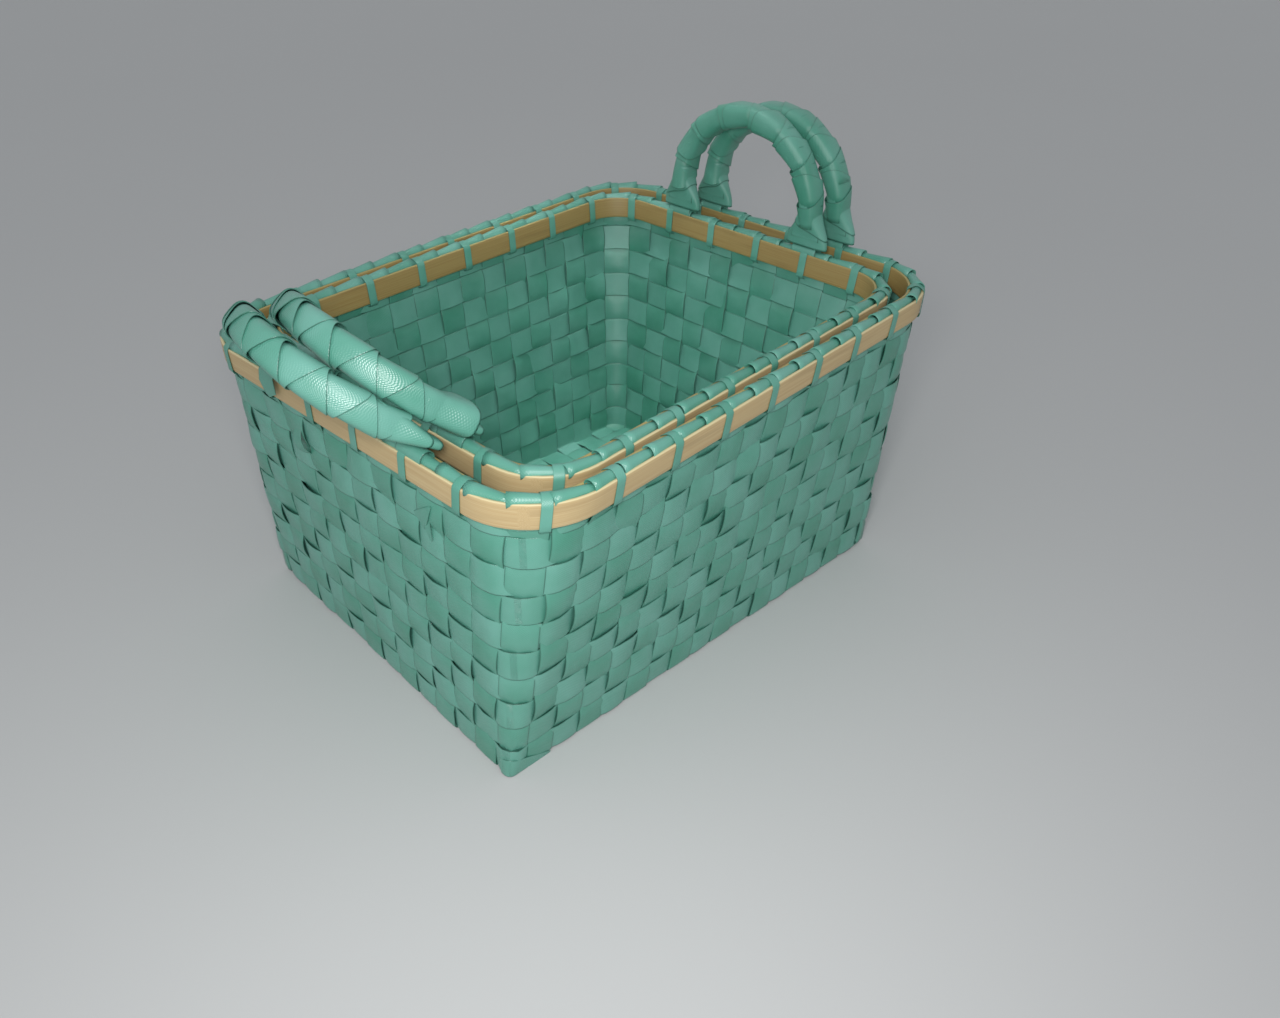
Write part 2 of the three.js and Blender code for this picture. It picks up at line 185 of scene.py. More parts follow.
class StripSizes(PropertyGroup):
    """Sizes of the plaited strip"""

    width: FloatProperty(
        name="Strip Width", description="Width of a stake or weaver", default=15.5 * MM, unit="LENGTH"
    )
    thickness: FloatProperty(
        name="Strip Thickness", description="Thickness of the strip", default=0.5 * MM, unit="LENGTH"
    )
    crown: FloatProperty(
        name="Strip Crown", description="How far a strip's middle stands proud of its edges",
        default=0.25 * MM, unit="LENGTH",
    )
    wave: FloatProperty(
        name="Wave Height", description="How far a strip swings out and in as it passes the others",
        default=0.85 * MM, unit="LENGTH",
    )
    slack: FloatProperty(
        name="Slack", description="How unevenly the strips are pulled tight", default=0.4, min=0.0, max=1.0
    )


class RimSizes(PropertyGroup):
    """Sizes of the rim"""

    hoop_height: FloatProperty(
        name="Hoop Height", description="Height of the split hoops", default=12.3 * MM, unit="LENGTH"
    )
    hoop_thickness: FloatProperty(
        name="Hoop Thickness", description="Thickness of the split hoops", default=1.8 * MM, unit="LENGTH"
    )
    roll_radius: FloatProperty(
        name="Roll Radius", description="Radius of the folded stake ends", default=3.05 * MM, unit="LENGTH"
    )
    strap_width: FloatProperty(
        name="Strap Width", description="Width of the lashing straps", default=5.0 * MM, unit="LENGTH"
    )
    strap_thickness: FloatProperty(
        name="Strap Thickness", description="Thickness of the lashing straps", default=0.4 * MM, unit="LENGTH"
    )


class HandleSizes(PropertyGroup):
    """Sizes of the handles"""

    width: FloatProperty(
        name="Handle Width", description="Width of the wrapped handle, out of the arch's plane",
        default=15.2 * MM, unit="LENGTH",
    )
    depth: FloatProperty(
        name="Handle Depth", description="Depth of the wrapped handle, in the arch's plane",
        default=12.5 * MM, unit="LENGTH",
    )
    turns: IntProperty(name="Turns", description="Wrapped turns along one handle", default=14, min=4)
    slant: FloatProperty(
        name="Turn Slant", description="How far a turn's edge slants to either side",
        default=4.0 * MM, unit="LENGTH",
    )


class Finishes(PropertyGroup):
    """Colours of the baskets and of the floor"""

    strip: FloatVectorProperty(
        name="Strip", description="Colour of the plastic strip", subtype="COLOR", default=(0.06, 0.275, 0.19)
    )
    strip_pale: FloatVectorProperty(
        name="Pale Strip", description="Colour of the palest strips", subtype="COLOR",
        default=(0.145, 0.39, 0.315),
    )
    bamboo: FloatVectorProperty(
        name="Bamboo", description="Colour of the hoops", subtype="COLOR", default=(0.47, 0.33, 0.16)
    )
    bamboo_edge: FloatVectorProperty(
        name="Bamboo Edge", description="Colour of the hoops' cut edges", subtype="COLOR",
        default=(0.66, 0.56, 0.32),
    )
    bamboo_age: FloatVectorProperty(
        name="Bamboo Age", description="What darkens the inner hoops", subtype="COLOR",
        default=(0.6, 0.57, 0.38),
    )
    floor: FloatVectorProperty(
        name="Floor", description="Colour of the floor", subtype="COLOR", default=(0.545, 0.55, 0.545)
    )


def unit(vectors):
    """Vectors scaled to length 1."""
    return vectors / np.linalg.norm(vectors, axis=-1, keepdims=True)


def rotated(vectors, angle):
    """Flat vectors turned anticlockwise by an angle each."""
    x, y = vectors[..., 0], vectors[..., 1]
    return np.stack([x * np.cos(angle) - y * np.sin(angle), x * np.sin(angle) + y * np.cos(angle)], axis=-1)


class Wall:
    """Wall of one basket: a rounded rectangle at every height, numbered by stakes round its outline.

    Stake 0 stands on the front-left corner, and the numbers run along the front to the right.
    """

    OUT = np.array([[0.0, -1.0], [1.0, 0.0], [0.0, 1.0], [-1.0, 0.0]])
    ALONG = np.array([[1.0, 0.0], [0.0, 1.0], [-1.0, 0.0], [0.0, -1.0]])

    def __init__(self, name):
        basket = BASKETS[name]
        self.floor = basket["floor"]
        self.rim = basket["rim"]
        self.floor_height = basket["floor_height"]
        self.side_counts = np.tile(basket["stakes"], 2)
        self.side_starts = np.concatenate([[0], np.cumsum(self.side_counts)[:-1]])
        self.count = int(self.side_counts.sum())

    def corner(self, number):
        """Stake number of a corner."""
        return int(self.side_starts[number])

    def all_round(self, samples):
        """Stake numbers all the way round, with some samples for each stake."""
        return np.arange(self.count * samples) / samples

    def flat(self, stake, height):
        """Points and outward directions in plan, as arrays over stakes and heights."""
        stake = np.mod(np.asarray(stake, float), self.count)
        stake, height = np.broadcast_arrays(stake, np.asarray(height, float))
        share = height / RIM_HEIGHT
        length, width, radius = (low + (high - low) * share for low, high in zip(self.floor, self.rim))
        side = np.searchsorted(self.side_starts, stake, side="right") - 1
        fraction = (stake - self.side_starts[side]) / self.side_counts[side]
        along_size = np.where(side % 2 == 0, length, width)
        out_size = np.where(side % 2 == 0, width, length)
        straight = along_size - 2 * radius
        half_arc = radius * math.pi / 4
        distance = fraction * (straight + 2 * half_arc)
        before = np.minimum(distance - half_arc, 0.0)
        after = np.maximum(distance - half_arc - straight, 0.0)
        turn = (before + after) / radius
        middle = np.clip(distance - half_arc, 0.0, straight) - straight / 2
        along = middle + radius * np.sin(turn)
        out = out_size / 2 - radius + radius * np.cos(turn)
        points = along[..., None] * self.ALONG[side] + out[..., None] * self.OUT[side]
        outward = np.sin(turn)[..., None] * self.ALONG[side] + np.cos(turn)[..., None] * self.OUT[side]
        skew = math.radians(FLOOR_TURN) * (1 - share)
        return RIM_SHIFT * share[..., None] + rotated(points, skew), rotated(outward, skew)

    def surface(self, stake, height, offset=0.0):
        """Points and outward directions in space, at an offset from the plait's inner face."""
        height = np.asarray(height, float)
        points, outward = self.flat(stake, height)
        step = 1.0 * MM
        slope = (self.flat(stake, height + step)[0] - points) / step
        lean = np.sum(outward * slope, axis=-1, keepdims=True)
        normals = unit(np.concatenate([outward, -lean], axis=-1))
        heights = np.broadcast_to(height, points.shape[:-1])[..., None]
        places = np.concatenate([points, heights], axis=-1)
        return places + normals * np.asarray(offset)[..., None], normals

    def pitch(self, stake, height):
        """Distance between neighbouring stakes."""
        before = self.flat(np.asarray(stake) - 0.5, height)[0]
        after = self.flat(np.asarray(stake) + 0.5, height)[0]
        return np.linalg.norm(after - before, axis=-1)

    def stake_at_y(self, side_name, y, height=RIM_HEIGHT):
        """Stake number on a short side, at a place along Y and a height."""
        side = 3 if side_name == "left" else 1
        start = self.side_starts[side]
        numbers = np.linspace(start, start + self.side_counts[side], 400)
        values = self.flat(numbers, height)[0][:, 1]
        order = np.argsort(values)
        return float(np.interp(y, values[order], numbers[order]))


class Paths:
    """Centre lines of strips, with an outward direction and a wave at each point."""

    def __init__(self):
        self.points = []
        self.edges = []
        self.outward = []
        self.wave = []
        self.spread = []
        self.bend = []
        self.tint = []

    def add(self, points, outward, wave=0.0, spread=1.0, bend=0.0, tint=0.5, closed=False):
        """Adds one centre line.

        Spread widens the strip, bend draws its edges back round a corner, and tint is its shade
        from 0 to 1.
        """
        count = len(points)
        first = len(self.points)
        self.points.extend(points)
        self.outward.extend(unit(np.asarray(outward)))
        self.wave.extend(np.broadcast_to(wave, count))
        self.spread.extend(np.broadcast_to(spread, count))
        self.bend.extend(np.broadcast_to(bend, count))
        self.tint.extend(np.broadcast_to(tint, count))
        self.edges.extend((first + k, first + k + 1) for k in range(count - 1))
        if closed:
            self.edges.append((first + count - 1, first))

    def build(self, name):
        """Object of the centre lines, with their values as attributes."""
        mesh = bpy.data.meshes.new(name)
        mesh.from_pydata([tuple(p) for p in self.points], self.edges, [])
        store_vectors(mesh, "outward", self.outward)
        for part in ("wave", "spread", "bend", "tint"):
            store_numbers(mesh, part, getattr(self, part))
        return link(name, mesh)


def store_vectors(mesh, name, values):
    """Vector attribute on a mesh's points."""
    layer = mesh.attributes.new(name, "FLOAT_VECTOR", "POINT")
    layer.data.foreach_set("vector", np.asarray(values, np.float32).ravel())


def store_numbers(mesh, name, values):
    """Number attribute on a mesh's points."""
    layer = mesh.attributes.new(name, "FLOAT", "POINT")
    layer.data.foreach_set("value", np.asarray(values, np.float32).ravel())


def link(name, mesh):
    """Object of a mesh, in the scene."""
    obj = bpy.data.objects.new(name, mesh)
    bpy.context.scene.collection.objects.link(obj)
    return obj


def new_node(tree, kind, inputs=None, **options):
    """Node with its options, and its inputs linked or set by name or number."""
    node = tree.nodes.new(kind)
    for key, value in options.items():
        setattr(node, key, value)
    for key, value in (inputs or {}).items():
        if isinstance(value, bpy.types.NodeSocket):
            tree.links.new(value, node.inputs[key])
        else:
            node.inputs[key].default_value = value
    return node


def node_math(tree, operation, *values):
    """Result of a Math node."""
    node = new_node(tree, "ShaderNodeMath", dict(enumerate(values)), operation=operation)
    return node.outputs[0]


def new_tree(name, sockets):
    """Geometry Nodes tree with a geometry in and out and the named inputs."""
    tree = bpy.data.node_groups.new(name, "GeometryNodeTree")
    tree.interface.new_socket("Geometry", in_out="INPUT", socket_type="NodeSocketGeometry")
    for socket, kind in sockets:
        tree.interface.new_socket(socket, in_out="INPUT", socket_type=kind)
    tree.interface.new_socket("Geometry", in_out="OUTPUT", socket_type="NodeSocketGeometry")
    return tree, tree.nodes.new("NodeGroupInput").outputs


def end_tree(tree, geometry, material):
    """Last nodes of a tree: plain mesh with its material."""
    plain = new_node(tree, "GeometryNodeRealizeInstances", {"Geometry": geometry})
    coated = new_node(
        tree, "GeometryNodeSetMaterial", {"Geometry": plain.outputs[0], "Material": material}
    )
    new_node(tree, "NodeGroupOutput", {"Geometry": coated.outputs[0]})


def attribute(tree, name, kind):
    """Named attribute read by a tree."""
    return new_node(tree, "GeometryNodeInputNamedAttribute", {"Name": name}, data_type=kind).outputs[0]


def store(tree, geometry, name, value, kind="FLOAT", domain="POINT"):
    """Geometry with a named attribute stored on it."""
    node = new_node(
        tree, "GeometryNodeStoreNamedAttribute", {"Geometry": geometry, "Name": name},
        data_type=kind, domain=domain,
    )
    tree.links.new(value, node.inputs["Value"])
    return node.outputs[0]


def flat_section(tree, width, thickness, crown):
    """Section of a strip: flat, with rounded edges and a raised middle."""
    corners = 14
    flatness = 0.3
    circle = new_node(
        tree, "GeometryNodeCurvePrimitiveCircle", {"Resolution": corners, "Radius": 1.0}, mode="RADIUS"
    )
    place = new_node(tree, "GeometryNodeInputPosition").outputs[0]
    turned = new_node(
        tree, "ShaderNodeVectorRotate", {"Vector": place, "Angle": math.pi / corners}, rotation_type="Z_AXIS"
    )
    parts = new_node(tree, "ShaderNodeSeparateXYZ", {0: turned.outputs[0]})
    flattened = []
    for part in parts.outputs[:2]:
        size = node_math(tree, "POWER", node_math(tree, "ABSOLUTE", part), flatness)
        flattened.append(node_math(tree, "MULTIPLY", size, node_math(tree, "SIGN", part)))
    across, through = flattened
    half_width = node_math(tree, "MULTIPLY", width, 0.5)
    half_thickness = node_math(tree, "MULTIPLY", thickness, 0.5)
    bulge = node_math(tree, "SUBTRACT", 1.0, node_math(tree, "MULTIPLY", across, across))
    raised = node_math(
        tree, "ADD", node_math(tree, "MULTIPLY", through, half_thickness),
        node_math(tree, "MULTIPLY", bulge, crown),
    )
    sideways = node_math(tree, "MULTIPLY", node_math(tree, "MULTIPLY", across, half_width), -1.0)
    spot = new_node(tree, "ShaderNodeCombineXYZ", {0: raised, 1: sideways})
    shaped = new_node(
        tree, "GeometryNodeSetPosition", {"Geometry": circle.outputs[0], "Position": spot.outputs[0]}
    )
    settled = new_node(tree, "GeometryNodeInputPosition").outputs[0]
    side = new_node(tree, "ShaderNodeSeparateXYZ", {0: settled}).outputs[1]
    return store(tree, shaped.outputs[0], "across", side)


def flat_strip_tree():
    """Tree that turns centre lines into flat strips."""
    name = "flat_strip"
    if name in bpy.data.node_groups:
        return bpy.data.node_groups[name]
    tree, given = new_tree(name, [
        ("Width", "NodeSocketFloat"),
        ("Thickness", "NodeSocketFloat"),
        ("Crown", "NodeSocketFloat"),
        ("Wave Height", "NodeSocketFloat"),
        ("Material", "NodeSocketMaterial"),
    ])
    outward = attribute(tree, "outward", "FLOAT_VECTOR")
    sway = node_math(tree, "MULTIPLY", attribute(tree, "wave", "FLOAT"), given["Wave Height"])
    offset = new_node(tree, "ShaderNodeVectorMath", {"Vector": outward, "Scale": sway}, operation="SCALE")
    line = new_node(tree, "GeometryNodeMeshToCurve", {"Mesh": given["Geometry"]})
    waved = new_node(
        tree, "GeometryNodeSetPosition", {"Geometry": line.outputs[0], "Offset": offset.outputs[0]}
    )
    facing = new_node(
        tree, "GeometryNodeSetCurveNormal", {"Curve": waved.outputs[0], "Normal": outward}, mode="FREE"
    )
    length = new_node(tree, "GeometryNodeSplineParameter").outputs["Length"]
    measured = store(tree, facing.outputs[0], "along", length)
    section = flat_section(tree, given["Width"], given["Thickness"], given["Crown"])
    body = new_node(tree, "GeometryNodeCurveToMesh", {
        "Curve": measured,
        "Profile Curve": section,
        "Scale": attribute(tree, "spread", "FLOAT"),
        "Fill Caps": True,
    })
    across = attribute(tree, "across", "FLOAT")
    reach = node_math(tree, "DIVIDE", across, node_math(tree, "MULTIPLY", given["Width"], 0.5))
    square = node_math(tree, "MULTIPLY", reach, reach)
    drop = node_math(tree, "MULTIPLY", square, attribute(tree, "bend", "FLOAT"))
    back = new_node(
        tree, "ShaderNodeVectorMath",
        {"Vector": outward, "Scale": node_math(tree, "MULTIPLY", drop, -1.0)}, operation="SCALE",
    )
    bent = new_node(
        tree, "GeometryNodeSetPosition", {"Geometry": body.outputs[0], "Offset": back.outputs[0]}
    )
    smooth = new_node(tree, "GeometryNodeSetShadeSmooth", {"Geometry": bent.outputs[0]})
    place = new_node(tree, "ShaderNodeCombineXYZ", {0: attribute(tree, "along", "FLOAT"), 1: across})
    mapped = store(tree, smooth.outputs[0], "UVMap", place.outputs[0], "FLOAT2", "CORNER")
    # Painted shade: how near each point lies to the strip's edges, which the finish darkens
    edge_shaded = store(tree, mapped, "edge", map_range(tree, square, SHADED_EDGE_START, SHADED_EDGE_END))
    end_tree(tree, edge_shaded, given["Material"])
    return tree


def repeat_tree():
    """Tree that repeats a piece at points, turned to each point's directions."""
    name = "repeat_along"
    if name in bpy.data.node_groups:
        return bpy.data.node_groups[name]
    tree, given = new_tree(name, [
        ("Piece", "NodeSocketObject"),
        ("Material", "NodeSocketMaterial"),
    ])
    piece = new_node(tree, "GeometryNodeObjectInfo", {"Object": given["Piece"]})
    turn = new_node(
        tree, "FunctionNodeAxesToRotation",
        {0: attribute(tree, "along_path", "FLOAT_VECTOR"), 1: attribute(tree, "outward", "FLOAT_VECTOR")},
        primary_axis="X", secondary_axis="Z",
    )
    copies = new_node(tree, "GeometryNodeInstanceOnPoints", {
        "Points": given["Geometry"],
        "Instance": piece.outputs["Geometry"],
        "Rotation": turn.outputs[0],
        "Scale": attribute(tree, "stretch", "FLOAT_VECTOR"),
    })
    end_tree(tree, copies.outputs[0], given["Material"])
    return tree


def apply_tree(obj, tree, values):
    """Gives an object the plain mesh that a tree makes of it."""
    modifier = obj.modifiers.new(tree.name, "NODES")
    modifier.node_group = tree
    for item in tree.interface.items_tree:
        if item.in_out == "INPUT" and item.name in values:
            modifier[item.identifier] = values[item.name]
    source = obj.data
    depsgraph = bpy.context.evaluated_depsgraph_get()
    obj.data = bpy.data.meshes.new_from_object(obj.evaluated_get(depsgraph))
    obj.data.name = obj.name
    obj.modifiers.clear()
    bpy.data.meshes.remove(source)
    return obj


def make_strips(name, paths, material, width, thickness, crown=0.0, wave=0.0):
    """Strips along centre lines, as one object."""
    return apply_tree(paths.build(name), flat_strip_tree(), {
        "Width": width,
        "Thickness": thickness,
        "Crown": crown,
        "Wave Height": wave,
        "Material": material,
    })


def repeat_piece(name, piece, points, along, outward, stretch, tint, material):
    """Copies of a piece at points, as one object; the piece itself is removed."""
    mesh = bpy.data.meshes.new(name)
    mesh.from_pydata([tuple(p) for p in points], [], [])
    store_vectors(mesh, "along_path", along)
    store_vectors(mesh, "outward", outward)
    store_vectors(mesh, "stretch", stretch)
    store_numbers(mesh, "tint", tint)
    obj = apply_tree(link(name, mesh), repeat_tree(), {"Piece": piece, "Material": material})
    bpy.data.objects.remove(piece)
    return obj


def put_on(obj, body, slot, *nodes):
    """Rides a finished piece on a body, in place of the frame's nodes."""
    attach(obj, body)
    if nodes:
        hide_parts(*nodes)


def sheet_mesh(name, outer, inner, around, uv):
    """Closed mesh of a sheet given by grids of its outer and inner points."""
    rows, columns = outer.shape[:2]
    points = np.concatenate([outer.reshape(-1, 3), inner.reshape(-1, 3)])
    half = rows * columns
    faces = []
    places = []

    def quad(*corners):
        faces.append([side * half + row * columns + column % columns for row, column, side in corners])
        places.extend(uv(row, column) for row, column, side in corners)

    spans = columns if around else columns - 1
    for i in range(rows - 1):
        for j in range(spans):
            quad((i, j, 0), (i + 1, j, 0), (i + 1, j + 1, 0), (i, j + 1, 0))
            quad((i, j, 1), (i, j + 1, 1), (i + 1, j + 1, 1), (i + 1, j, 1))
    for j in range(spans):
        quad((0, j, 0), (0, j + 1, 0), (0, j + 1, 1), (0, j, 1))
        quad((rows - 1, j, 0), (rows - 1, j, 1), (rows - 1, j + 1, 1), (rows - 1, j + 1, 0))
    if not around:
        last = columns - 1
        for i in range(rows - 1):
            quad((i, 0, 0), (i, 0, 1), (i + 1, 0, 1), (i + 1, 0, 0))
            quad((i, last, 0), (i + 1, last, 0), (i + 1, last, 1), (i, last, 1))
    mesh = bpy.data.meshes.new(name)
    mesh.from_pydata([tuple(p) for p in points], [], faces)
    layer = mesh.uv_layers.new(name="UVMap")
    layer.data.foreach_set("uv", np.asarray(places, np.float32).ravel())
    mesh.shade_smooth()
    return mesh


def shader_tree(name):
    """New material's tree and its Principled shader."""
    material = bpy.data.materials.new(name)
    material.use_nodes = True
    tree = material.node_tree
    return material, tree, tree.nodes["Principled BSDF"]


def mixed(tree, share, first, second, blend="MIX"):
    """Colour between two colours, or the first one blended with the second."""
    node = new_node(
        tree, "ShaderNodeMix", {"Factor": share}, data_type="RGBA", clamp_factor=True, blend_type=blend
    )
    for socket, value in ((node.inputs[6], first), (node.inputs[7], second)):
        if isinstance(value, bpy.types.NodeSocket):
            tree.links.new(value, socket)
        else:
            socket.default_value = (*value, 1.0)
    return node.outputs[2]


def map_range(tree, value, low, high, to_low=0.0, to_high=1.0):
    """Value stretched from one range to another."""
    return new_node(tree, "ShaderNodeMapRange", {0: value, 1: low, 2: high, 3: to_low, 4: to_high}).outputs[0]


def noise(tree, place, scale, detail, roughness=0.5):
    """Cloudy values from 0 to 1."""
    values = {"Vector": place, "Scale": scale, "Detail": detail, "Roughness": roughness}
    return new_node(tree, "ShaderNodeTexNoise", values).outputs[0]


def grain(tree, place, fibres, detail, roughness=0.5):
    """Streaks on a strip, by the number of changes in a metre along it and across it."""
    stretched = new_node(tree, "ShaderNodeMapping", {"Vector": place, "Scale": (*fibres, 1.0)})
    return noise(tree, stretched.outputs[0], 1.0, detail, roughness)


def own_value(tree, name):
    """Value of a piece's own attribute."""
    return new_node(tree, "ShaderNodeAttribute", attribute_name=name).outputs["Fac"]


def strip_place(tree):
    """Place on a strip, and its parts along and across the strip."""
    place = new_node(tree, "ShaderNodeUVMap", uv_map="UVMap").outputs[0]
    return place, new_node(tree, "ShaderNodeSeparateXYZ", {0: place}).outputs[:2]


def bump(tree, strength, depth, height):
    """Direction of a surface with a fine relief."""
    values = {"Strength": strength, "Distance": depth, "Height": height}
    return new_node(tree, "ShaderNodeBump", values).outputs[0]


def strip_finish(finishes):
    """Satin plastic strip with a fine embossed crosshatch, paler and darker from strip to strip,
    partly as painted sheen and painted light, and with painted shade along its edges.
    """
    name = "embossed_strip"
    if name in bpy.data.materials:
        return bpy.data.materials[name]
    emboss_pitch = 1.1 * MM
    emboss_depth = 0.08 * MM
    material, tree, shader = shader_tree(name)
    ribs = [
        node_math(tree, "SINE", node_math(tree, "MULTIPLY", part, 2 * math.pi / emboss_pitch))
        for part in strip_place(tree)[1]
    ]
    emboss = node_math(tree, "MULTIPLY", *ribs)
    cloud = noise(tree, new_node(tree, "ShaderNodeTexCoord").outputs["Object"], 45.0, 3.0)
    tint = node_math(tree, "MULTIPLY", own_value(tree, "tint"), 0.6)
    shade = node_math(tree, "ADD", tint, map_range(tree, cloud, 0.3, 0.7, -0.1, 0.5))
    plain = mixed(tree, shade, finishes.strip, finishes.strip_pale)
    # Painted shade: strips darken towards their edges, where the gaps and steps between strips fall in shadow
    edge = node_math(tree, "MULTIPLY", own_value(tree, "edge"), 0.65)
    dark = [channel * 0.3 for channel in finishes.strip]
    tree.links.new(mixed(tree, edge, plain, dark), shader.inputs["Base Color"])
    tree.links.new(map_range(tree, cloud, 0.3, 0.7, 0.28, 0.4), shader.inputs["Roughness"])
    tree.links.new(bump(tree, 0.6, emboss_depth, emboss), shader.inputs["Normal"])
    shader.inputs["Specular IOR Level"].default_value = 0.75
    return material


def bamboo_finish(finishes):
    """Split bamboo: long fibres, darker streaks and pale cut edges, darker with age."""
    name = "split_bamboo"
    if name in bpy.data.materials:
        return bpy.data.materials[name]
    cut_start = 5.5 * MM
    cut_end = 6.0 * MM
    fibre_depth = 0.12 * MM
    material, tree, shader = shader_tree(name)
    place, parts = strip_place(tree)
    fibre = grain(tree, place, (14.0, 1600.0), 4.0, 0.6)
    streak = grain(tree, place, (16.0, 160.0), 2.0)
    pale = map_range(tree, fibre, 0.35, 0.65, 0.0, 0.45)
    warm = mixed(tree, pale, finishes.bamboo, finishes.bamboo_edge)
    dark = [channel * 0.62 for channel in finishes.bamboo]
    streaked = mixed(tree, map_range(tree, streak, 0.55, 0.8, 0.0, 0.5), warm, dark)
    edge = map_range(tree, node_math(tree, "ABSOLUTE", parts[1]), cut_start, cut_end)
    fresh = mixed(tree, edge, streaked, finishes.bamboo_edge)
    aged = mixed(tree, own_value(tree, "tint"), fresh, finishes.bamboo_age, "MULTIPLY")
    tree.links.new(aged, shader.inputs["Base Color"])
    tree.links.new(map_range(tree, fibre, 0.3, 0.7, 0.42, 0.58), shader.inputs["Roughness"])
    tree.links.new(bump(tree, 0.3, fibre_depth, fibre), shader.inputs["Normal"])
    return material


def floor_finish(finishes):
    """Plain pale floor with a faint unevenness."""
    material, tree, shader = shader_tree("pale_floor")
    cloud = noise(tree, new_node(tree, "ShaderNodeTexCoord").outputs["Object"], 1.5, 2.0)
    darker = [channel * 0.96 for channel in finishes.floor]
    tree.links.new(mixed(tree, cloud, darker, finishes.floor), shader.inputs["Base Color"])
    shader.inputs["Roughness"].default_value = 0.8
    shader.inputs["Specular IOR Level"].default_value = 0.2
    return material


def distances(points):
    """Distance along a line at each of its points."""
    steps = np.linalg.norm(np.diff(points, axis=0), axis=1)
    return np.concatenate([[0.0], np.cumsum(steps)])


def eased(share):
    """Shares from 0 to 1 that start and end slowly."""
    share = np.clip(share, 0.0, 1.0)
    return share ** 2 * (3 - 2 * share)


def swing(place, crossings, values):
    """Values that hold at the crossings of a strip and change quickly between them."""
    place = np.clip(place, crossings[0], crossings[-1])
    number = np.clip(np.searchsorted(crossings, place, side="right") - 1, 0, len(crossings) - 2)
    share = (place - crossings[number]) / (crossings[number + 1] - crossings[number])
    ease = eased((share - 0.5) * SWING_SPEED + 0.5)
    return values[number] + (values[number + 1] - values[number]) * ease


def course_heights():
    """Middle height of each weaver course."""
    pitch = (COURSE_END - COURSE_START) / COURSES
    return COURSE_START + (np.arange(COURSES) + 0.5) * pitch


def parity(number):
    """1 for an even number and -1 for an odd one."""
    return 1 - 2 * (np.asarray(number) % 2)


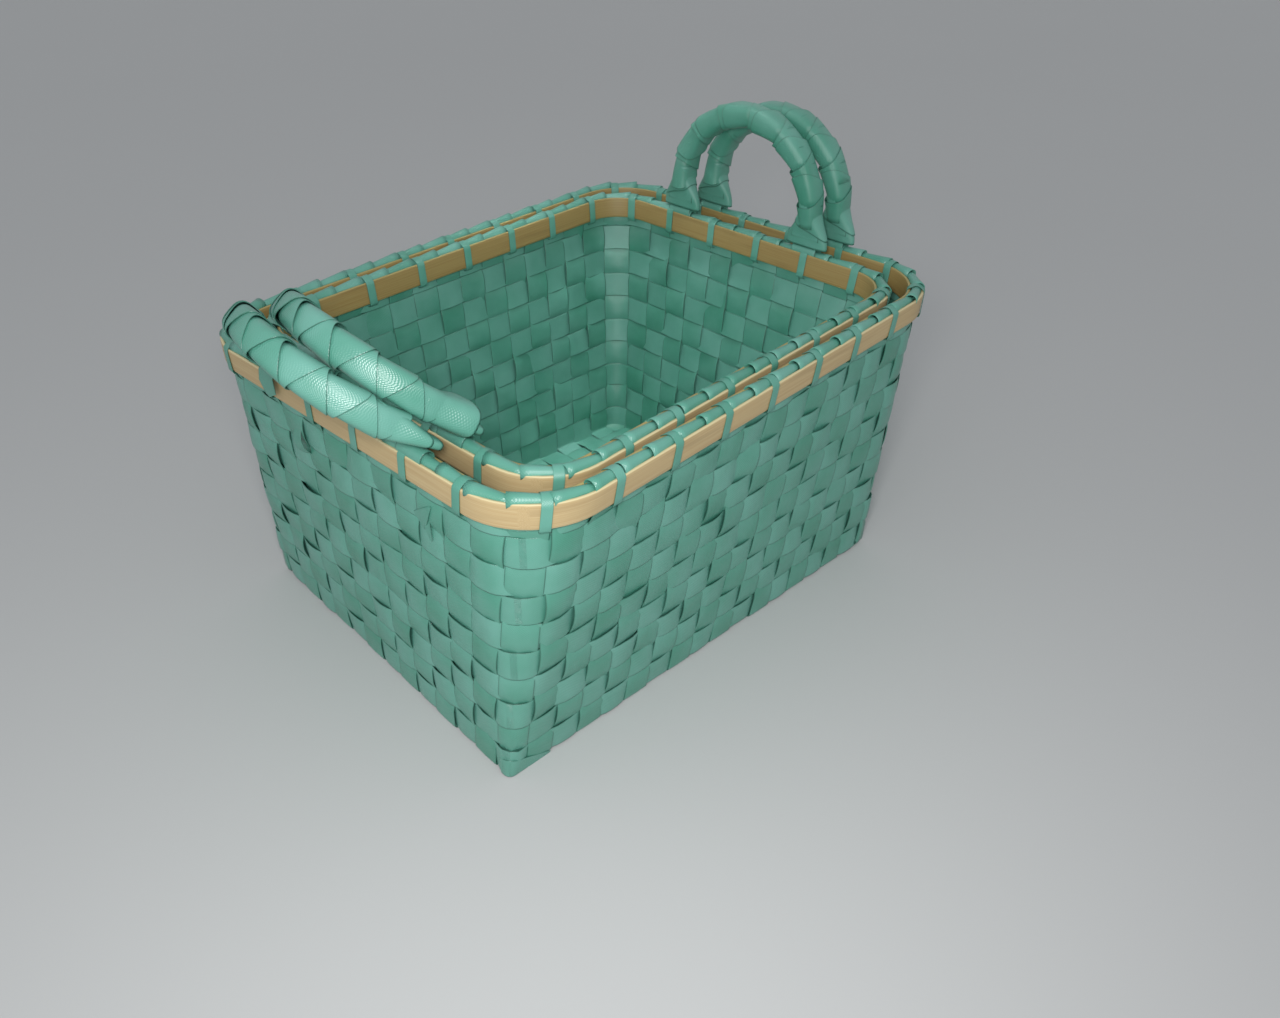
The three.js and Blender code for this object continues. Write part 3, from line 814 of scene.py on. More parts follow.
class Plait:
    """Centre lines of all the strips of one basket."""

    def __init__(self, name, sizes, seed):
        self.wall = Wall(name)
        self.sizes = sizes
        self.random = np.random.default_rng(seed)
        self.courses = course_heights()

    def pull(self, count):
        """How strongly a strip swings at each of its crossings."""
        return 1 + self.sizes.slack * self.random.uniform(-1, 1, count)

    def twist(self, count):
        """How far a strip is turned about its own line at each crossing."""
        return TWIST * self.sizes.slack * self.random.normal(0, 1, count)

    def weavers(self):
        """Closed courses that go outside one stake and inside the next."""
        paths = Paths()
        wall = self.wall
        stakes = wall.all_round(PLAIT_SAMPLES)
        numbers = np.arange(wall.count + 1)
        for course, height in enumerate(self.courses):
            pull = self.pull(wall.count)
            values = parity(numbers + course) * np.append(pull, pull[0])
            twist = self.twist(wall.count)
            lift = np.interp(stakes, numbers, np.append(twist, twist[0]))
            points, outward = wall.surface(stakes, np.full(len(stakes), height), PLAIT_MIDDLE)
            facing = outward + UP * lift[:, None]
            wave = swing(stakes, numbers.astype(float), values)
            # The weavers' paler shades are painted sheen
            paths.add(points, facing, wave, tint=self.random.uniform(*WEAVER_TINTS_AND_SHEEN), closed=True)
        return paths

    def wall_line(self, stake):
        """Line down one stake, from the rim to the bend at the floor."""
        low = self.wall.floor_height + FLOOR_BEND
        heights = np.linspace(COURSE_END + STAKE_END, low, COURSES * PLAIT_SAMPLES)
        numbers = np.full(len(heights), float(stake))
        before, points, after = (
            self.wall.surface(numbers + step, heights, PLAIT_MIDDLE)[0] for step in (-0.5, 0.0, 0.5)
        )
        chord = after - before
        outward = unit(np.cross(chord, -np.gradient(points, axis=0)))
        bend = np.sum(outward * (points - (before + after) / 2), axis=1)
        spread = np.linalg.norm(chord, axis=1) * STAKE_FILL / self.sizes.width
        marks = np.interp(-self.courses[::-1], -heights, distances(points))
        return points, outward, spread, bend, marks

    def foot(self, stake):
        """Outer corner where a stake would meet the floor if it didn't bend."""
        height = self.wall.floor_height
        return self.wall.surface(np.array([float(stake)]), np.array([height]), PLAIT_MIDDLE)[0][0]

    def bend(self, start, corner, end, outward):
        """Rounded bend from a wall to the floor."""
        share = np.linspace(0, 1, 7)[1:-1, None]
        points = (1 - share) ** 2 * start + 2 * share * (1 - share) * corner + share ** 2 * end
        facing = (1 - share) * outward - share * UP
        return points, facing

    def crossing_strip(self, paths, start_stake, end_stake, floor_marks, floor_signs):
        """One strip: down a wall, across the floor and up the wall opposite."""
        first, first_out, first_spread, first_bend, first_marks = self.wall_line(start_stake)
        last, last_out, last_spread, last_bend, last_marks = self.wall_line(end_stake)
        start_corner, end_corner = self.foot(start_stake), self.foot(end_stake)
        across = end_corner - start_corner
        reach = np.linalg.norm(across)
        direction = across / reach
        count = len(floor_marks) * PLAIT_SAMPLES
        run = np.linspace(FLOOR_BEND, reach - FLOOR_BEND, count)[:, None]
        middle = start_corner + direction * run
        down, down_out = self.bend(first[-1], start_corner, middle[0], first_out[-1])
        rise, rise_out = self.bend(last[-1], end_corner, middle[-1], last_out[-1])
        points = np.concatenate([first, down, middle, rise[::-1], last[::-1]])
        under = np.tile(-UP, (count, 1))
        facing = np.concatenate([first_out, down_out, under, rise_out[::-1], last_out[::-1]])
        flat = len(down) + count + len(rise)
        spread = np.concatenate([first_spread, np.full(flat, first_spread[-1]), last_spread[::-1]])
        bend = np.concatenate([first_bend, np.zeros(flat), last_bend[::-1]])
        place = distances(points)
        floor_start = place[len(first) + len(down)] - FLOOR_BEND
        crossings = np.concatenate([first_marks, floor_start + floor_marks, place[-1] - last_marks[::-1]])
        down_signs = -parity(start_stake + np.arange(COURSES - 1, -1, -1))
        up_signs = -parity(end_stake + np.arange(COURSES))
        signs = np.concatenate([down_signs, floor_signs, up_signs])
        values = signs * self.pull(len(signs))
        wave = swing(place, crossings, values)
        lift = np.interp(place, crossings, self.twist(len(signs)))
        for turn in (floor_start, floor_start + reach):
            calm = np.clip((np.abs(place - turn) - FLOOR_BEND) / CALM_REACH, 0.0, 1.0)
            wave = np.where(wave < 0, wave * calm, wave)
            lift = lift * calm
        along = np.gradient(points, axis=0)
        sideways = unit(np.cross(facing, along))
        tint = np.full(len(points), self.random.uniform(*STAKE_TINTS))
        # Painted light: strips are paler where they lie on the floors
        tint[len(first):len(first) + flat] += FLOOR_PAINTED_LIGHT
        paths.add(points, facing + sideways * lift[:, None], wave, spread, bend, tint)

    def floor_marks(self, side, start, end):
        """Where the stakes of one side cross a strip over the floor, as distances from its start."""
        first = self.wall.side_starts[side]
        numbers = first + np.arange(1, self.wall.side_counts[side])
        places = self.wall.surface(numbers, np.full(len(numbers), self.wall.floor_height), PLAIT_MIDDLE)[0]
        corner = self.foot(start)
        return (places - corner) @ unit(self.foot(end) - corner)

    def crossing_strips(self, side, crossed, order, sign):
        """All strips down one side, across the floor and up the side opposite.

        On the floor they cross the strips of another side, in rising or falling order.
        """
        paths = Paths()
        count = self.wall.side_counts[side]
        numbers = np.arange(1, self.wall.side_counts[crossed])[::order]
        for row in range(1, count):
            start = self.wall.corner(side) + row
            end = self.wall.corner(side + 2) + count - row
            marks = self.floor_marks(crossed, start, end)[::order]
            self.crossing_strip(paths, start, end, marks, sign * parity(numbers + row))
        return paths

    def lengthwise(self):
        """Strips up the two short walls and along the floor."""
        return self.crossing_strips(1, 0, -1, 1)

    def crosswise(self):
        """Strips up the two long walls and across the floor."""
        return self.crossing_strips(0, 1, 1, -1)

    def corner_stakes(self):
        """Stakes that stand on the corners and turn a little way under the floor."""
        paths = Paths()
        for corner in range(4):
            stake = self.wall.corner(corner)
            points, outward, spread, bend, marks = self.wall_line(stake)
            tip = self.foot(stake)
            inward = unit(tip * np.array([-1.0, -1.0, 0.0]))
            end = tip + inward * CORNER_TURN
            down, down_out = self.bend(points[-1], tip, end, outward[-1])
            values = -parity(stake + np.arange(COURSES - 1, -1, -1)) * self.pull(COURSES)
            line = np.concatenate([points, down])
            wave = swing(distances(line), marks, values)
            paths.add(
                line, np.concatenate([outward, down_out]), wave,
                np.concatenate([spread, np.full(len(down), spread[-1])]),
                np.concatenate([bend, np.linspace(bend[-1], 0.0, len(down))]),
                self.random.uniform(*STAKE_TINTS),
            )
        return paths


def settings():
    """The scene's basket settings."""
    return bpy.context.scene.plaited_baskets


class BASKET_OT_plait(Operator):
    """Plaits the stakes, weavers and floors of both baskets"""

    bl_idname = "basket.plait"
    bl_label = "Plait Baskets"

    def execute(self, context):
        sizes = settings().strip
        finish = strip_finish(settings().finishes)
        for seed, name in enumerate(BASKETS):
            plait = Plait(name, sizes, seed + 11)
            corners = [f"{name}_{place}_corner_stake" for place in CORNER_NAMES]
            courses = [f"{name}_weaver_{number + 1}" for number in range(COURSES)]
            for part, paths, nodes in (
                ("plaited_lengthwise", plait.lengthwise(), [f"{name}_lengthwise_strips"]),
                ("plaited_crosswise", plait.crosswise(), [f"{name}_crosswise_strips"]),
                ("plaited_corners", plait.corner_stakes(), corners),
                ("plaited_weavers", plait.weavers(), courses),
            ):
                piece = make_strips(
                    f"{name}_{part}", paths, finish, sizes.width, sizes.thickness, sizes.crown, sizes.wave
                )
                put_on(piece, f"{name}_basket", "strip", *nodes)
        return {"FINISHED"}


class BASKET_OT_bend_hoops(Operator):
    """Bends the split hoops round both rims"""

    bl_idname = "basket.bend_hoops"
    bl_label = "Bend Hoops"

    def execute(self, context):
        rim = settings().rim
        finish = bamboo_finish(settings().finishes)
        for name in BASKETS:
            wall = Wall(name)
            stakes = wall.all_round(HOOP_SAMPLES)
            middle = np.full(len(stakes), RIM_HEIGHT - rim.hoop_height / 2)
            for part, offset, age in HOOPS:
                paths = Paths()
                points, outward = wall.surface(stakes, middle, offset)
                paths.add(points, outward, tint=age, closed=True)
                piece = make_strips(
                    f"{name}_bent_{part}", paths, finish, rim.hoop_height, rim.hoop_thickness
                )
                put_on(piece, f"{name}_basket", "bamboo", f"{name}_{part}")
        return {"FINISHED"}


def roll_piece(radius, length):
    """Rolled stake end: a short open tube, wide at one end and tucked in at the other."""
    rows, columns = 6, 13
    opening = 118
    thickness = 0.5 * MM
    wide, taper = 1.2, 0.46
    lift, sink = 0.04, 0.1
    share = np.linspace(0, 1, rows)[:, None]
    angle = np.radians(np.linspace(-opening, opening, columns))[None, :]
    size = radius * (wide - taper * share)

    def grid(shrink):
        across = (size - shrink) * np.sin(angle)
        up = (size - shrink) * np.cos(angle) + radius * (lift - sink * share)
        along = np.broadcast_to((share - 0.5) * length, across.shape)
        return np.stack([along, across, up], axis=-1)

    def place(row, column):
        return column / columns * 4 * radius, row / rows * length

    return link("roll", sheet_mesh("roll", grid(0.0), grid(thickness), False, place))


class BASKET_OT_fold_rims(Operator):
    """Folds the stake ends over both rims"""

    bl_idname = "basket.fold_rims"
    bl_label = "Fold Rims"

    def execute(self, context):
        rim = settings().rim
        finish = strip_finish(settings().finishes)
        for seed, name in enumerate(BASKETS):
            random = np.random.default_rng(seed + 31)
            wall = Wall(name)
            stakes = np.arange(wall.count, dtype=float)
            top = np.full(wall.count, RIM_HEIGHT)
            points, outward = wall.surface(stakes, top, RIM_MIDDLE)
            before = wall.surface(stakes - 0.3, top, RIM_MIDDLE)[0]
            after = wall.surface(stakes + 0.3, top, RIM_MIDDLE)[0]
            pitch = wall.pitch(stakes, top)
            stretch = np.ones((wall.count, 3))
            stretch[:, 0] = pitch / pitch.mean()
            stretch[:, 1:] = random.uniform(*ROLL_SIZES, (wall.count, 1))
            tilt = outward * random.normal(0, ROLL_TILT, (wall.count, 1))
            piece = repeat_piece(
                f"{name}_rolled_stake_ends", roll_piece(rim.roll_radius, pitch.mean() + ROLL_OVERLAP),
                points - UP * ROLL_DROP, after - before, UP + tilt, stretch,
                random.uniform(*ROLL_TINTS, wall.count), finish,
            )
            put_on(piece, f"{name}_basket", "strip", f"{name}_rim_fold")
        return {"FINISHED"}


# Lashing strap across the rim, as offset and height in millimetres, from outside to inside
STRAP_LINE = np.array([
    [2.4, 145.4], [4.2, 145.9], [4.75, 147.0], [4.7, 150.0], [4.65, 154.0], [4.6, 157.5], [4.35, 159.3],
    [3.3, 160.4], [1.8, 161.5], [0.5, 162.0], [-0.8, 162.0], [-2.2, 161.5], [-3.8, 160.4], [-5.0, 159.3],
    [-5.2, 157.5], [-5.25, 154.0], [-5.3, 150.0], [-5.3, 147.0], [-4.6, 145.9], [-2.6, 145.5],
]) * MM

# Saddle under a handle's foot, in the same way
SADDLE_LINE = np.array([
    [2.3, 156.6], [3.0, 158.8], [3.6, 160.3], [3.0, 162.2], [1.6, 163.5], [0.4, 163.9], [-1.0, 163.9],
    [-2.2, 163.5], [-3.6, 162.2], [-4.2, 160.3], [-3.6, 158.8], [-2.9, 156.6],
]) * MM


def add_strap(paths, wall, stake, line, tint):
    """Strap over the rim at one place."""
    numbers = np.full(len(line), float(stake))
    points, outward = wall.surface(numbers, line[:, 1], line[:, 0])
    step = np.gradient(line, axis=0)
    level = unit(outward * np.array([1.0, 1.0, 0.0]))
    facing = level * step[:, 1:2] - UP * step[:, :1]
    paths.add(points, facing, tint=tint)


class BASKET_OT_lash_rims(Operator):
    """Lashes both rims with narrow straps"""

    bl_idname = "basket.lash_rims"
    bl_label = "Lash Rims"

    def execute(self, context):
        rim = settings().rim
        finish = strip_finish(settings().finishes)
        for seed, name in enumerate(BASKETS):
            random = np.random.default_rng(seed + 41)
            wall = Wall(name)
            paths = Paths()
            for stake in np.arange(STRAP_START, wall.count, STRAP_STEP):
                place = stake + random.uniform(-STRAP_STRAY, STRAP_STRAY)
                add_strap(paths, wall, place, STRAP_LINE, random.uniform(*STRAP_TINTS))
            stakes = wall.all_round(HOOP_SAMPLES)
            height = RIM_HEIGHT - rim.hoop_height + RUN_HEIGHT + RUN_SWAY * np.sin(stakes * 0.9)
            points, outward = wall.surface(stakes, height, RUN_OFFSET)
            paths.add(points, outward, tint=RUN_TINT, closed=True)
            piece = make_strips(f"{name}_lashing", paths, finish, rim.strap_width, rim.strap_thickness)
            put_on(piece, f"{name}_basket", "strip", f"{name}_rim_lashing")
        return {"FINISHED"}


class Handle:
    """Place of one handle: its hinge, and the directions out of the rim, along it and up the arch."""

    def __init__(self, basket, side, lean, turn, shift, span, height):
        self.basket = basket
        self.side = side
        self.name = f"{basket}_{side}_handle"
        self.sizes = settings().handle
        self.lean = math.radians(lean)
        self.turn = math.radians(turn)
        self.half = span / 2
        self.height = height
        sign = -1.0 if side == "left" else 1.0
        reach = BASKETS[basket]["rim"][0] / 2 + RIM_MIDDLE
        self.middle = RIM_SHIFT[1] + shift
        self.hinge = np.array([RIM_SHIFT[0] + sign * reach, self.middle, HINGE_HEIGHT])
        self.level = np.array([sign, 0.0, 0.0])
        self.along = np.array([0.0, -sign, 0.0])

    def at(self, out, along, rise):
        """Points in space from distances out of the arch, along the rim and up the arch."""
        out, along, rise = (part[..., None] for part in np.broadcast_arrays(out, along, rise))
        lean = self.lean - self.turn * along / self.half
        level = out * np.cos(lean) + rise * np.sin(lean)
        height = rise * np.cos(lean) - out * np.sin(lean)
        return self.hinge + level * self.level + along * self.along + height * UP

    def arch(self, place, start):
        """Along and up the arch at shares of its length, and the direction away from its middle."""
        shoulder = self.height - self.half
        leg = shoulder - start
        total = 2 * leg + math.pi * self.half
        distance = place * total
        angle = np.clip((distance - leg) / self.half, 0.0, math.pi)
        over = np.minimum(distance, leg) - np.maximum(distance - leg - math.pi * self.half, 0.0)
        along = -self.half * np.cos(angle)
        rise = start + over + self.half * np.sin(angle)
        return along, rise, -np.cos(angle), np.sin(angle), total


def blunt(values):
    """Sines or cosines of an oval, flattened towards a rounded rectangle."""
    return np.sign(values) * np.abs(values) ** 0.66


def sleeve_mesh(name, grid, columns, share, edge, half_width, length):
    """Closed mesh of a wrapped sleeve, with painted shade at one of its ends.

    The grid gives the sleeve's points, shrunk by a distance, over the shares of its length.
    """

    def place(row, column):
        return column / columns * GIRTH * half_width, share[row, 0] * length

    mesh = sheet_mesh(name, grid(0.0), grid(WRAP_THICKNESS), True, place)
    store_numbers(mesh, "edge", np.tile(np.repeat(share[:, 0] == edge, columns), 2))
    return mesh


def turn_piece(half_width, half_depth, length, slant, step, radius):
    """One wrapped turn: a flattened sleeve bent to a radius.

    Its slanted edge stands proud of the turn before it by a step.
    """
    columns = 28
    share = np.array([0.0, 0.025, 0.25, 0.5, 0.75, 1.0])[:, None]
    angle = np.linspace(0, 2 * math.pi, columns, endpoint=False)[None, :]
    start = slant * blunt(np.sin(angle))
    end = length + abs(slant) + TURN_OVERLAP
    lift = step - (step + TURN_SINK) * share

    def grid(shrink):
        bend = (start * (1 - share) + end * share) / radius
        sideways = (half_width + lift - shrink) * blunt(np.sin(angle))
        outwards = radius + (half_depth + lift - shrink) * blunt(np.cos(angle))
        return np.stack([outwards * np.sin(bend), sideways, outwards * np.cos(bend) - radius], axis=-1)

    # The turn's proud start edge gets a painted shadow line
    return link("turn", sleeve_mesh("turn", grid, columns, share, 0.0, half_width, end))


def skirt_mesh(handle, sign, name, hem, slant, lift, inner, outer):
    """Sleeve over one foot of a handle that opens along the rim towards a slanted hem.

    The hem stands off the arch's plane by an inner and an outer distance.
    """
    columns = 32
    share = np.append(np.linspace(0, 0.95, 11), 1.0)[:, None]
    angle = np.linspace(0, 2 * math.pi, columns, endpoint=False)[None, :]
    half_width = SKIRT_SHARE * handle.sizes.width
    half_depth = SKIRT_SHARE * handle.sizes.depth
    rise = SKIRT_TOP + (hem + slant * np.cos(angle) - SKIRT_TOP) * share
    flare = eased((FLARE_TOP - rise) / FLARE_HEIGHT)
    mouth = np.where(np.sin(angle) > 0, outer, inner)
    half_out = half_width + (mouth - half_width) * flare + lift
    half_along = half_depth + (FLARE_LENGTH - half_depth) * flare + lift
    shoulder = handle.height - handle.half
    inwards = handle.half - np.sqrt(handle.half ** 2 - np.maximum(rise - shoulder, 0.0) ** 2)

    def grid(shrink):
        out = (half_out - shrink) * blunt(np.sin(angle))
        along = sign * (handle.half - inwards) + (half_along - shrink) * blunt(np.cos(angle))
        return handle.at(out, along, rise)

    # The hem gets painted shade
    mesh = sleeve_mesh(name, grid, columns, share, 1.0, half_width, SKIRT_TOP - hem)
    store_numbers(mesh, "tint", np.full(len(mesh.vertices), FOOT_TINT))
    return mesh


class BASKET_OT_wrap_handles(Operator):
    """Wraps the handles and sets them on their saddles"""

    bl_idname = "basket.wrap_handles"
    bl_label = "Wrap Handles"

    def execute(self, context):
        finish = strip_finish(settings().finishes)
        sizes = settings().handle
        for seed, spec in enumerate(HANDLES):
            handle = Handle(*spec)
            random = np.random.default_rng(seed + 51)
            self.wrap(handle, sizes, random, finish)
            self.feet(handle, finish)
            self.saddles(handle, finish)
        return {"FINISHED"}

    def wrap(self, handle, sizes, random, finish):
        """Turns along the arch, slanting to either side in turn."""
        place = np.arange(sizes.turns) / sizes.turns
        along, rise, away_along, away_rise, total = handle.arch(place, WRAP_START)
        points = handle.at(0.0, along, rise)
        next_along, next_rise, *_ = handle.arch(place + 0.01, WRAP_START)
        onward = handle.at(0.0, next_along, next_rise) - points
        outward = handle.at(0.0, along + MM * away_along, rise + MM * away_rise) - points
        stretch = random.uniform(*TURN_SIZES, (sizes.turns, 3))
        swell = np.sin(math.pi * (place + 0.5 / sizes.turns)) ** 0.6
        taper = TURN_AT_FEET + (1 - TURN_AT_FEET) * swell
        stretch[:, 1:] *= taper[:, None]
        # The left handles' paler turns are painted sheen
        tint = random.uniform(*TURN_TINTS_AND_SHEEN[handle.side], sizes.turns)
        length = total / sizes.turns
        for first, slant, nodes in ((0, sizes.slant, [f"{handle.name}_wrap"]), (1, -sizes.slant, [])):
            chosen = slice(first, None, 2)
            piece = turn_piece(
                sizes.width / 2, sizes.depth / 2, length, slant, TURN_STEPS[handle.side],
                TURN_RADII[handle.side] * handle.half,
            )
            turned = repeat_piece(
                f"{handle.name}_wrapped_turns_{first + 1}", piece, points[chosen], onward[chosen],
                outward[chosen], stretch[chosen], tint[chosen], finish,
            )
            put_on(turned, handle.name, "strip", *nodes)

    def feet(self, handle, finish):
        """Flared skirts in two layers, and the looped legs under them."""
        legs = Paths()
        angle = np.radians(np.linspace(-90, 90, 9))
        out = np.concatenate([[-LEG_OFFSET], LEG_LOOP * np.sin(angle), [LEG_OFFSET]])
        rise = np.concatenate([[LEG_HEIGHT], -LEG_LOOP * np.cos(angle), [LEG_HEIGHT]])
        for sign in (-1.0, 1.0):
            points = handle.at(out, sign * handle.half, rise)
            facing = points - handle.at(0.0, sign * handle.half, np.maximum(rise, 0.0))
            legs.add(points, facing, tint=LEG_TINT)
            foot = f"{handle.name}_{'back' if sign * handle.along[1] > 0 else 'front'}"
            over = BELL_SKIRT if foot == BELL_FOOT else OVER_SKIRT
            for layer, (hem, slant, *rest) in (("under_skirt", UNDER_SKIRT), ("over_skirt", over)):
                name = f"{foot}_{layer}"
                skirt = link(name, skirt_mesh(handle, sign, name, hem, slant * sign, *rest))
                skirt.data.materials.append(finish)
                put_on(skirt, handle.name, "strip")
        piece = make_strips(f"{handle.name}_looped_legs", legs, finish, LEG_WIDTH, FOOT_THICKNESS)
        put_on(piece, handle.name, "handle_core", f"{handle.name}_core")

    def saddles(self, handle, finish):
        """Strips over the rim under both feet."""
        wall = Wall(handle.basket)
        paths = Paths()
        for sign in (-1.0, 1.0):
            stake = wall.stake_at_y(handle.side, handle.middle + sign * handle.half)
            add_strap(paths, wall, stake, SADDLE_LINE, FOOT_TINT)
        piece = make_strips(f"{handle.name}_saddles", paths, finish, SADDLE_WIDTH, FOOT_THICKNESS)
        ties = [f"{handle.name}_{place}_tie" for place in ("front", "back")]
        put_on(piece, f"{handle.basket}_basket", "strip", *ties)


# Loose strip ends on the large basket's left wall: place along Y, height and offset from the wall in
# millimetres, and the share of the full strip width; and their shade
TAILS = (
    ((60.0, 163.2, 1.0, 1.0), (60.0, 162.0, 4.6, 1.0), (59.0, 158.5, 6.6, 0.95), (57.0, 154.5, 7.0, 0.8),
     (55.0, 151.0, 7.2, 0.55)),
    ((49.0, 133.5, 1.6, 0.5), (48.0, 131.0, 3.2, 0.55), (46.5, 127.5, 4.6, 0.55), (45.0, 124.0, 4.4, 0.5),
     (44.0, 121.5, 2.8, 0.42), (43.5, 120.0, 1.4, 0.35)),
    ((-47.0, 126.0, 1.9, 0.6), (-51.0, 130.0, 2.6, 0.5), (-55.0, 135.0, 2.9, 0.25),
     (-57.5, 138.0, 2.4, 0.05)),
    ((-52.0, 130.0, 1.8, 0.35), (-54.0, 125.0, 2.6, 0.3), (-56.0, 119.0, 2.6, 0.05)),
)
TAIL_TINT = 0.4

# Flap folded over the large basket's near bottom corner: stake number, height in millimetres and share
# of the width; its offset from the wall, the points along it, and its shade
CORNER_FLAP = ((-0.25, 5.6, 0.66), (0.0, 5.9, 0.72), (0.35, 4.9, 0.6), (0.9, 2.7, 0.34), (1.45, 0.9, 0.08))
FLAP_OFFSET = 2.0 * MM
FLAP_POINTS = 36
FLAP_TINT = 0.9


class BASKET_OT_leave_tails(Operator):
    """Leaves a few loose strip ends on the left wall and folds a flap over the near bottom corner"""

    bl_idname = "basket.leave_tails"
    bl_label = "Leave Tails"

    def execute(self, context):
        sizes = settings().strip
        wall = Wall("large")
        paths = Paths()
        for tail in TAILS:
            along, height, offset, spread = np.array(tail).T
            along, height, offset = along * MM, height * MM, offset * MM
            stakes = [wall.stake_at_y("left", y, z) for y, z in zip(along, height)]
            points, outward = wall.surface(np.array(stakes), height, offset)
            paths.add(points, outward, spread=spread, tint=TAIL_TINT)
        marks, heights, widths = np.array(CORNER_FLAP).T
        stakes = np.linspace(marks[0], marks[-1], FLAP_POINTS)
        points, outward = wall.surface(stakes, np.interp(stakes, marks, heights) * MM, FLAP_OFFSET)
        paths.add(points, outward, spread=np.interp(stakes, marks, widths), tint=FLAP_TINT)
        piece = make_strips(
            "large_loose_tails", paths, strip_finish(settings().finishes), sizes.width, sizes.thickness
        )
        put_on(piece, "large_basket", "strip")
        return {"FINISHED"}


# Camera: place, heading, tilt and roll in degrees, and its lens and film width in millimetres
CAMERA_PLACE = (-356.1 * MM, -373.2 * MM, 405.0 * MM)
CAMERA_HEADING = 42.204
CAMERA_TILT = -35.765
CAMERA_ROLL = 0.523
CAMERA_LENS = 29.82
CAMERA_FILM = 36.0
# Square lights: name, place, power in watts, size, spread of the beam in degrees, and target
LIGHTS = (
    ("key_light", (-0.34, -0.33, 0.41), 1.55, 0.08, 180.0, (0.0, 0.0, 0.08)),
    ("side_light", (-0.85, -0.3, 0.45), 0.7, 0.3, 180.0, (0.0, 0.0, 0.08)),
    ("top_light", (0.08, 0.06, 0.8), 0.055, 0.12, 18.0, (0.07, 0.05, 0.0)),
)
# Light from all sides: colour and strength
SKY_COLOUR = (0.93, 0.96, 1.0, 1.0)
SKY_STRENGTH = 0.54
# Half the width of the floor
FLOOR_HALF = 40.0


class BASKET_OT_set_stage(Operator):
    """Sets the floor, the lights and the camera"""

    bl_idname = "basket.set_stage"
    bl_label = "Set Stage"

    def execute(self, context):
        self.floor()
        for spec in LIGHTS:
            self.light(*spec)
        self.sky()
        self.camera(context.scene)
        return {"FINISHED"}

    def floor(self):
        """Wide pale floor under the baskets."""
        mesh = bpy.data.meshes.new("floor")
        corners = [(x * FLOOR_HALF, y * FLOOR_HALF, 0.0) for x, y in ((-1, -1), (1, -1), (1, 1), (-1, 1))]
        mesh.from_pydata(corners, [], [(0, 1, 2, 3)])
        mesh.materials.append(floor_finish(settings().finishes))
        link("floor", mesh)

    def light(self, name, place, power, size, spread, target):
        """Soft square light aimed at a target."""
        light = bpy.data.lights.new(name, "AREA")
        light.energy = power
        light.size = size
        light.spread = math.radians(spread)
        obj = bpy.data.objects.new(name, light)
        bpy.context.scene.collection.objects.link(obj)
        backwards = unit(np.array(place) - np.array(target))
        sideways = unit(np.cross(UP, backwards))
        upwards = np.cross(backwards, sideways)
        obj.matrix_world = turned_matrix(sideways, upwards, backwards, place)

    def sky(self):
        """Even dim light from all sides."""
        world = bpy.data.worlds.new("studio")
        world.use_nodes = True
        background = world.node_tree.nodes["Background"]
        background.inputs["Color"].default_value = SKY_COLOUR
        background.inputs["Strength"].default_value = SKY_STRENGTH
        bpy.context.scene.world = world

    def camera(self, scene):
        """Camera at the photograph's viewing angle."""
        data = bpy.data.cameras.new("camera")
        data.sensor_fit = "HORIZONTAL"
        data.sensor_width = CAMERA_FILM
        data.lens = CAMERA_LENS
        data.clip_start = 0.01
        heading, tilt, roll = (math.radians(v) for v in (CAMERA_HEADING, CAMERA_TILT, CAMERA_ROLL))
        level = np.array([math.cos(heading), math.sin(heading), 0.0])
        forward = level * math.cos(tilt) + UP * math.sin(tilt)
        right = np.array([math.sin(heading), -math.cos(heading), 0.0])
        top = np.cross(right, forward)
        rolled_right = right * math.cos(roll) + top * math.sin(roll)
        rolled_top = top * math.cos(roll) - right * math.sin(roll)
        obj = bpy.data.objects.new("camera", data)
        scene.collection.objects.link(obj)
        obj.matrix_world = turned_matrix(rolled_right, rolled_top, -forward, CAMERA_PLACE)
        scene.camera = obj
        scene.view_settings.view_transform = "Standard"


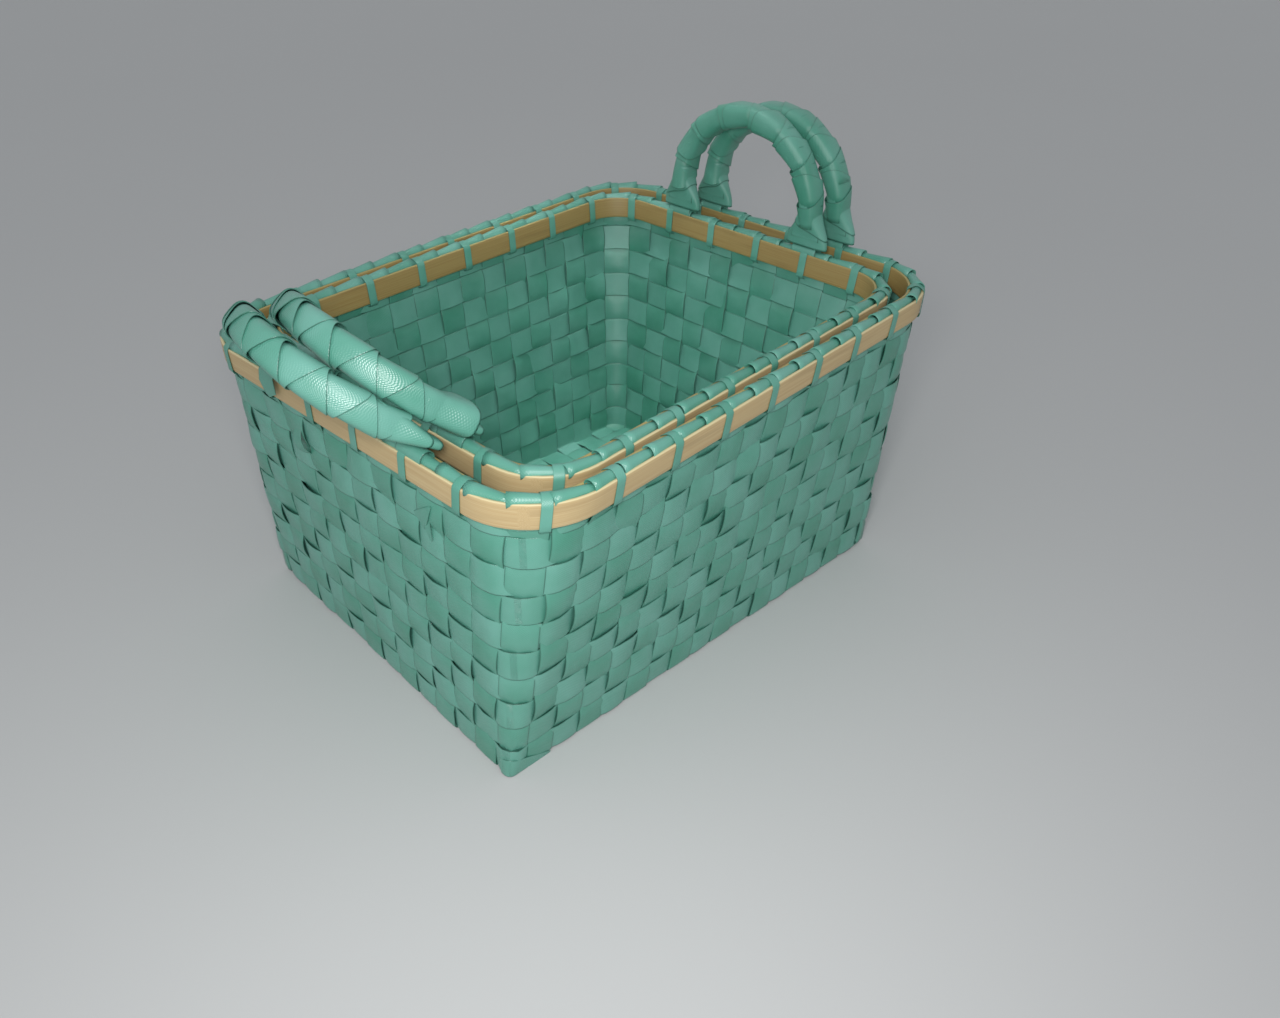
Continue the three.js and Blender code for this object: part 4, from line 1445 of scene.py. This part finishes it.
def turned_matrix(x_axis, y_axis, z_axis, place):
    """Matrix with the given axes and place."""
    matrix = Matrix.Identity(4)
    for column, axis in enumerate((x_axis, y_axis, z_axis, place)):
        for row in range(3):
            matrix[row][column] = float(axis[row])
    return matrix


class BASKET_PT_panel(Panel):
    """Lists the steps and sizes of the baskets"""

    bl_label = "Plaited Baskets"
    bl_space_type = "VIEW_3D"
    bl_region_type = "UI"
    bl_category = "Baskets"

    def draw(self, context):
        baskets = context.scene.plaited_baskets
        for group in (baskets.strip, baskets.rim, baskets.handle, baskets.finishes):
            box = self.layout.box()
            for name in group.__annotations__:
                box.prop(group, name)
        for operator in OPERATORS:
            self.layout.operator(operator.bl_idname)


class BasketSettings(PropertyGroup):
    """All the settings of the baskets"""

    strip: PointerProperty(type=StripSizes, name="Strip", description="Sizes of the plaited strip")
    rim: PointerProperty(type=RimSizes, name="Rim", description="Sizes of the rims")
    handle: PointerProperty(type=HandleSizes, name="Handle", description="Sizes of the handles")
    finishes: PointerProperty(type=Finishes, name="Finishes", description="Colours")


OPERATORS = (
    BASKET_OT_plait,
    BASKET_OT_bend_hoops,
    BASKET_OT_fold_rims,
    BASKET_OT_lash_rims,
    BASKET_OT_wrap_handles,
    BASKET_OT_leave_tails,
    BASKET_OT_set_stage,
)
CLASSES = (StripSizes, RimSizes, HandleSizes, Finishes, BasketSettings, *OPERATORS, BASKET_PT_panel)


def register():
    """Registers the classes and the scene's settings."""
    for item in CLASSES:
        bpy.utils.register_class(item)
    bpy.types.Scene.plaited_baskets = PointerProperty(type=BasketSettings)


def unregister():
    """Removes the scene's settings and the classes."""
    del bpy.types.Scene.plaited_baskets
    for item in reversed(CLASSES):
        bpy.utils.unregister_class(item)


def main():
    """Builds the baskets and the stage."""
    register()
    bpy.ops.basket.plait()
    bpy.ops.basket.bend_hoops()
    bpy.ops.basket.fold_rims()
    bpy.ops.basket.lash_rims()
    bpy.ops.basket.wrap_handles()
    bpy.ops.basket.leave_tails()
    bpy.ops.basket.set_stage()


if __name__ == "__main__":
    main()
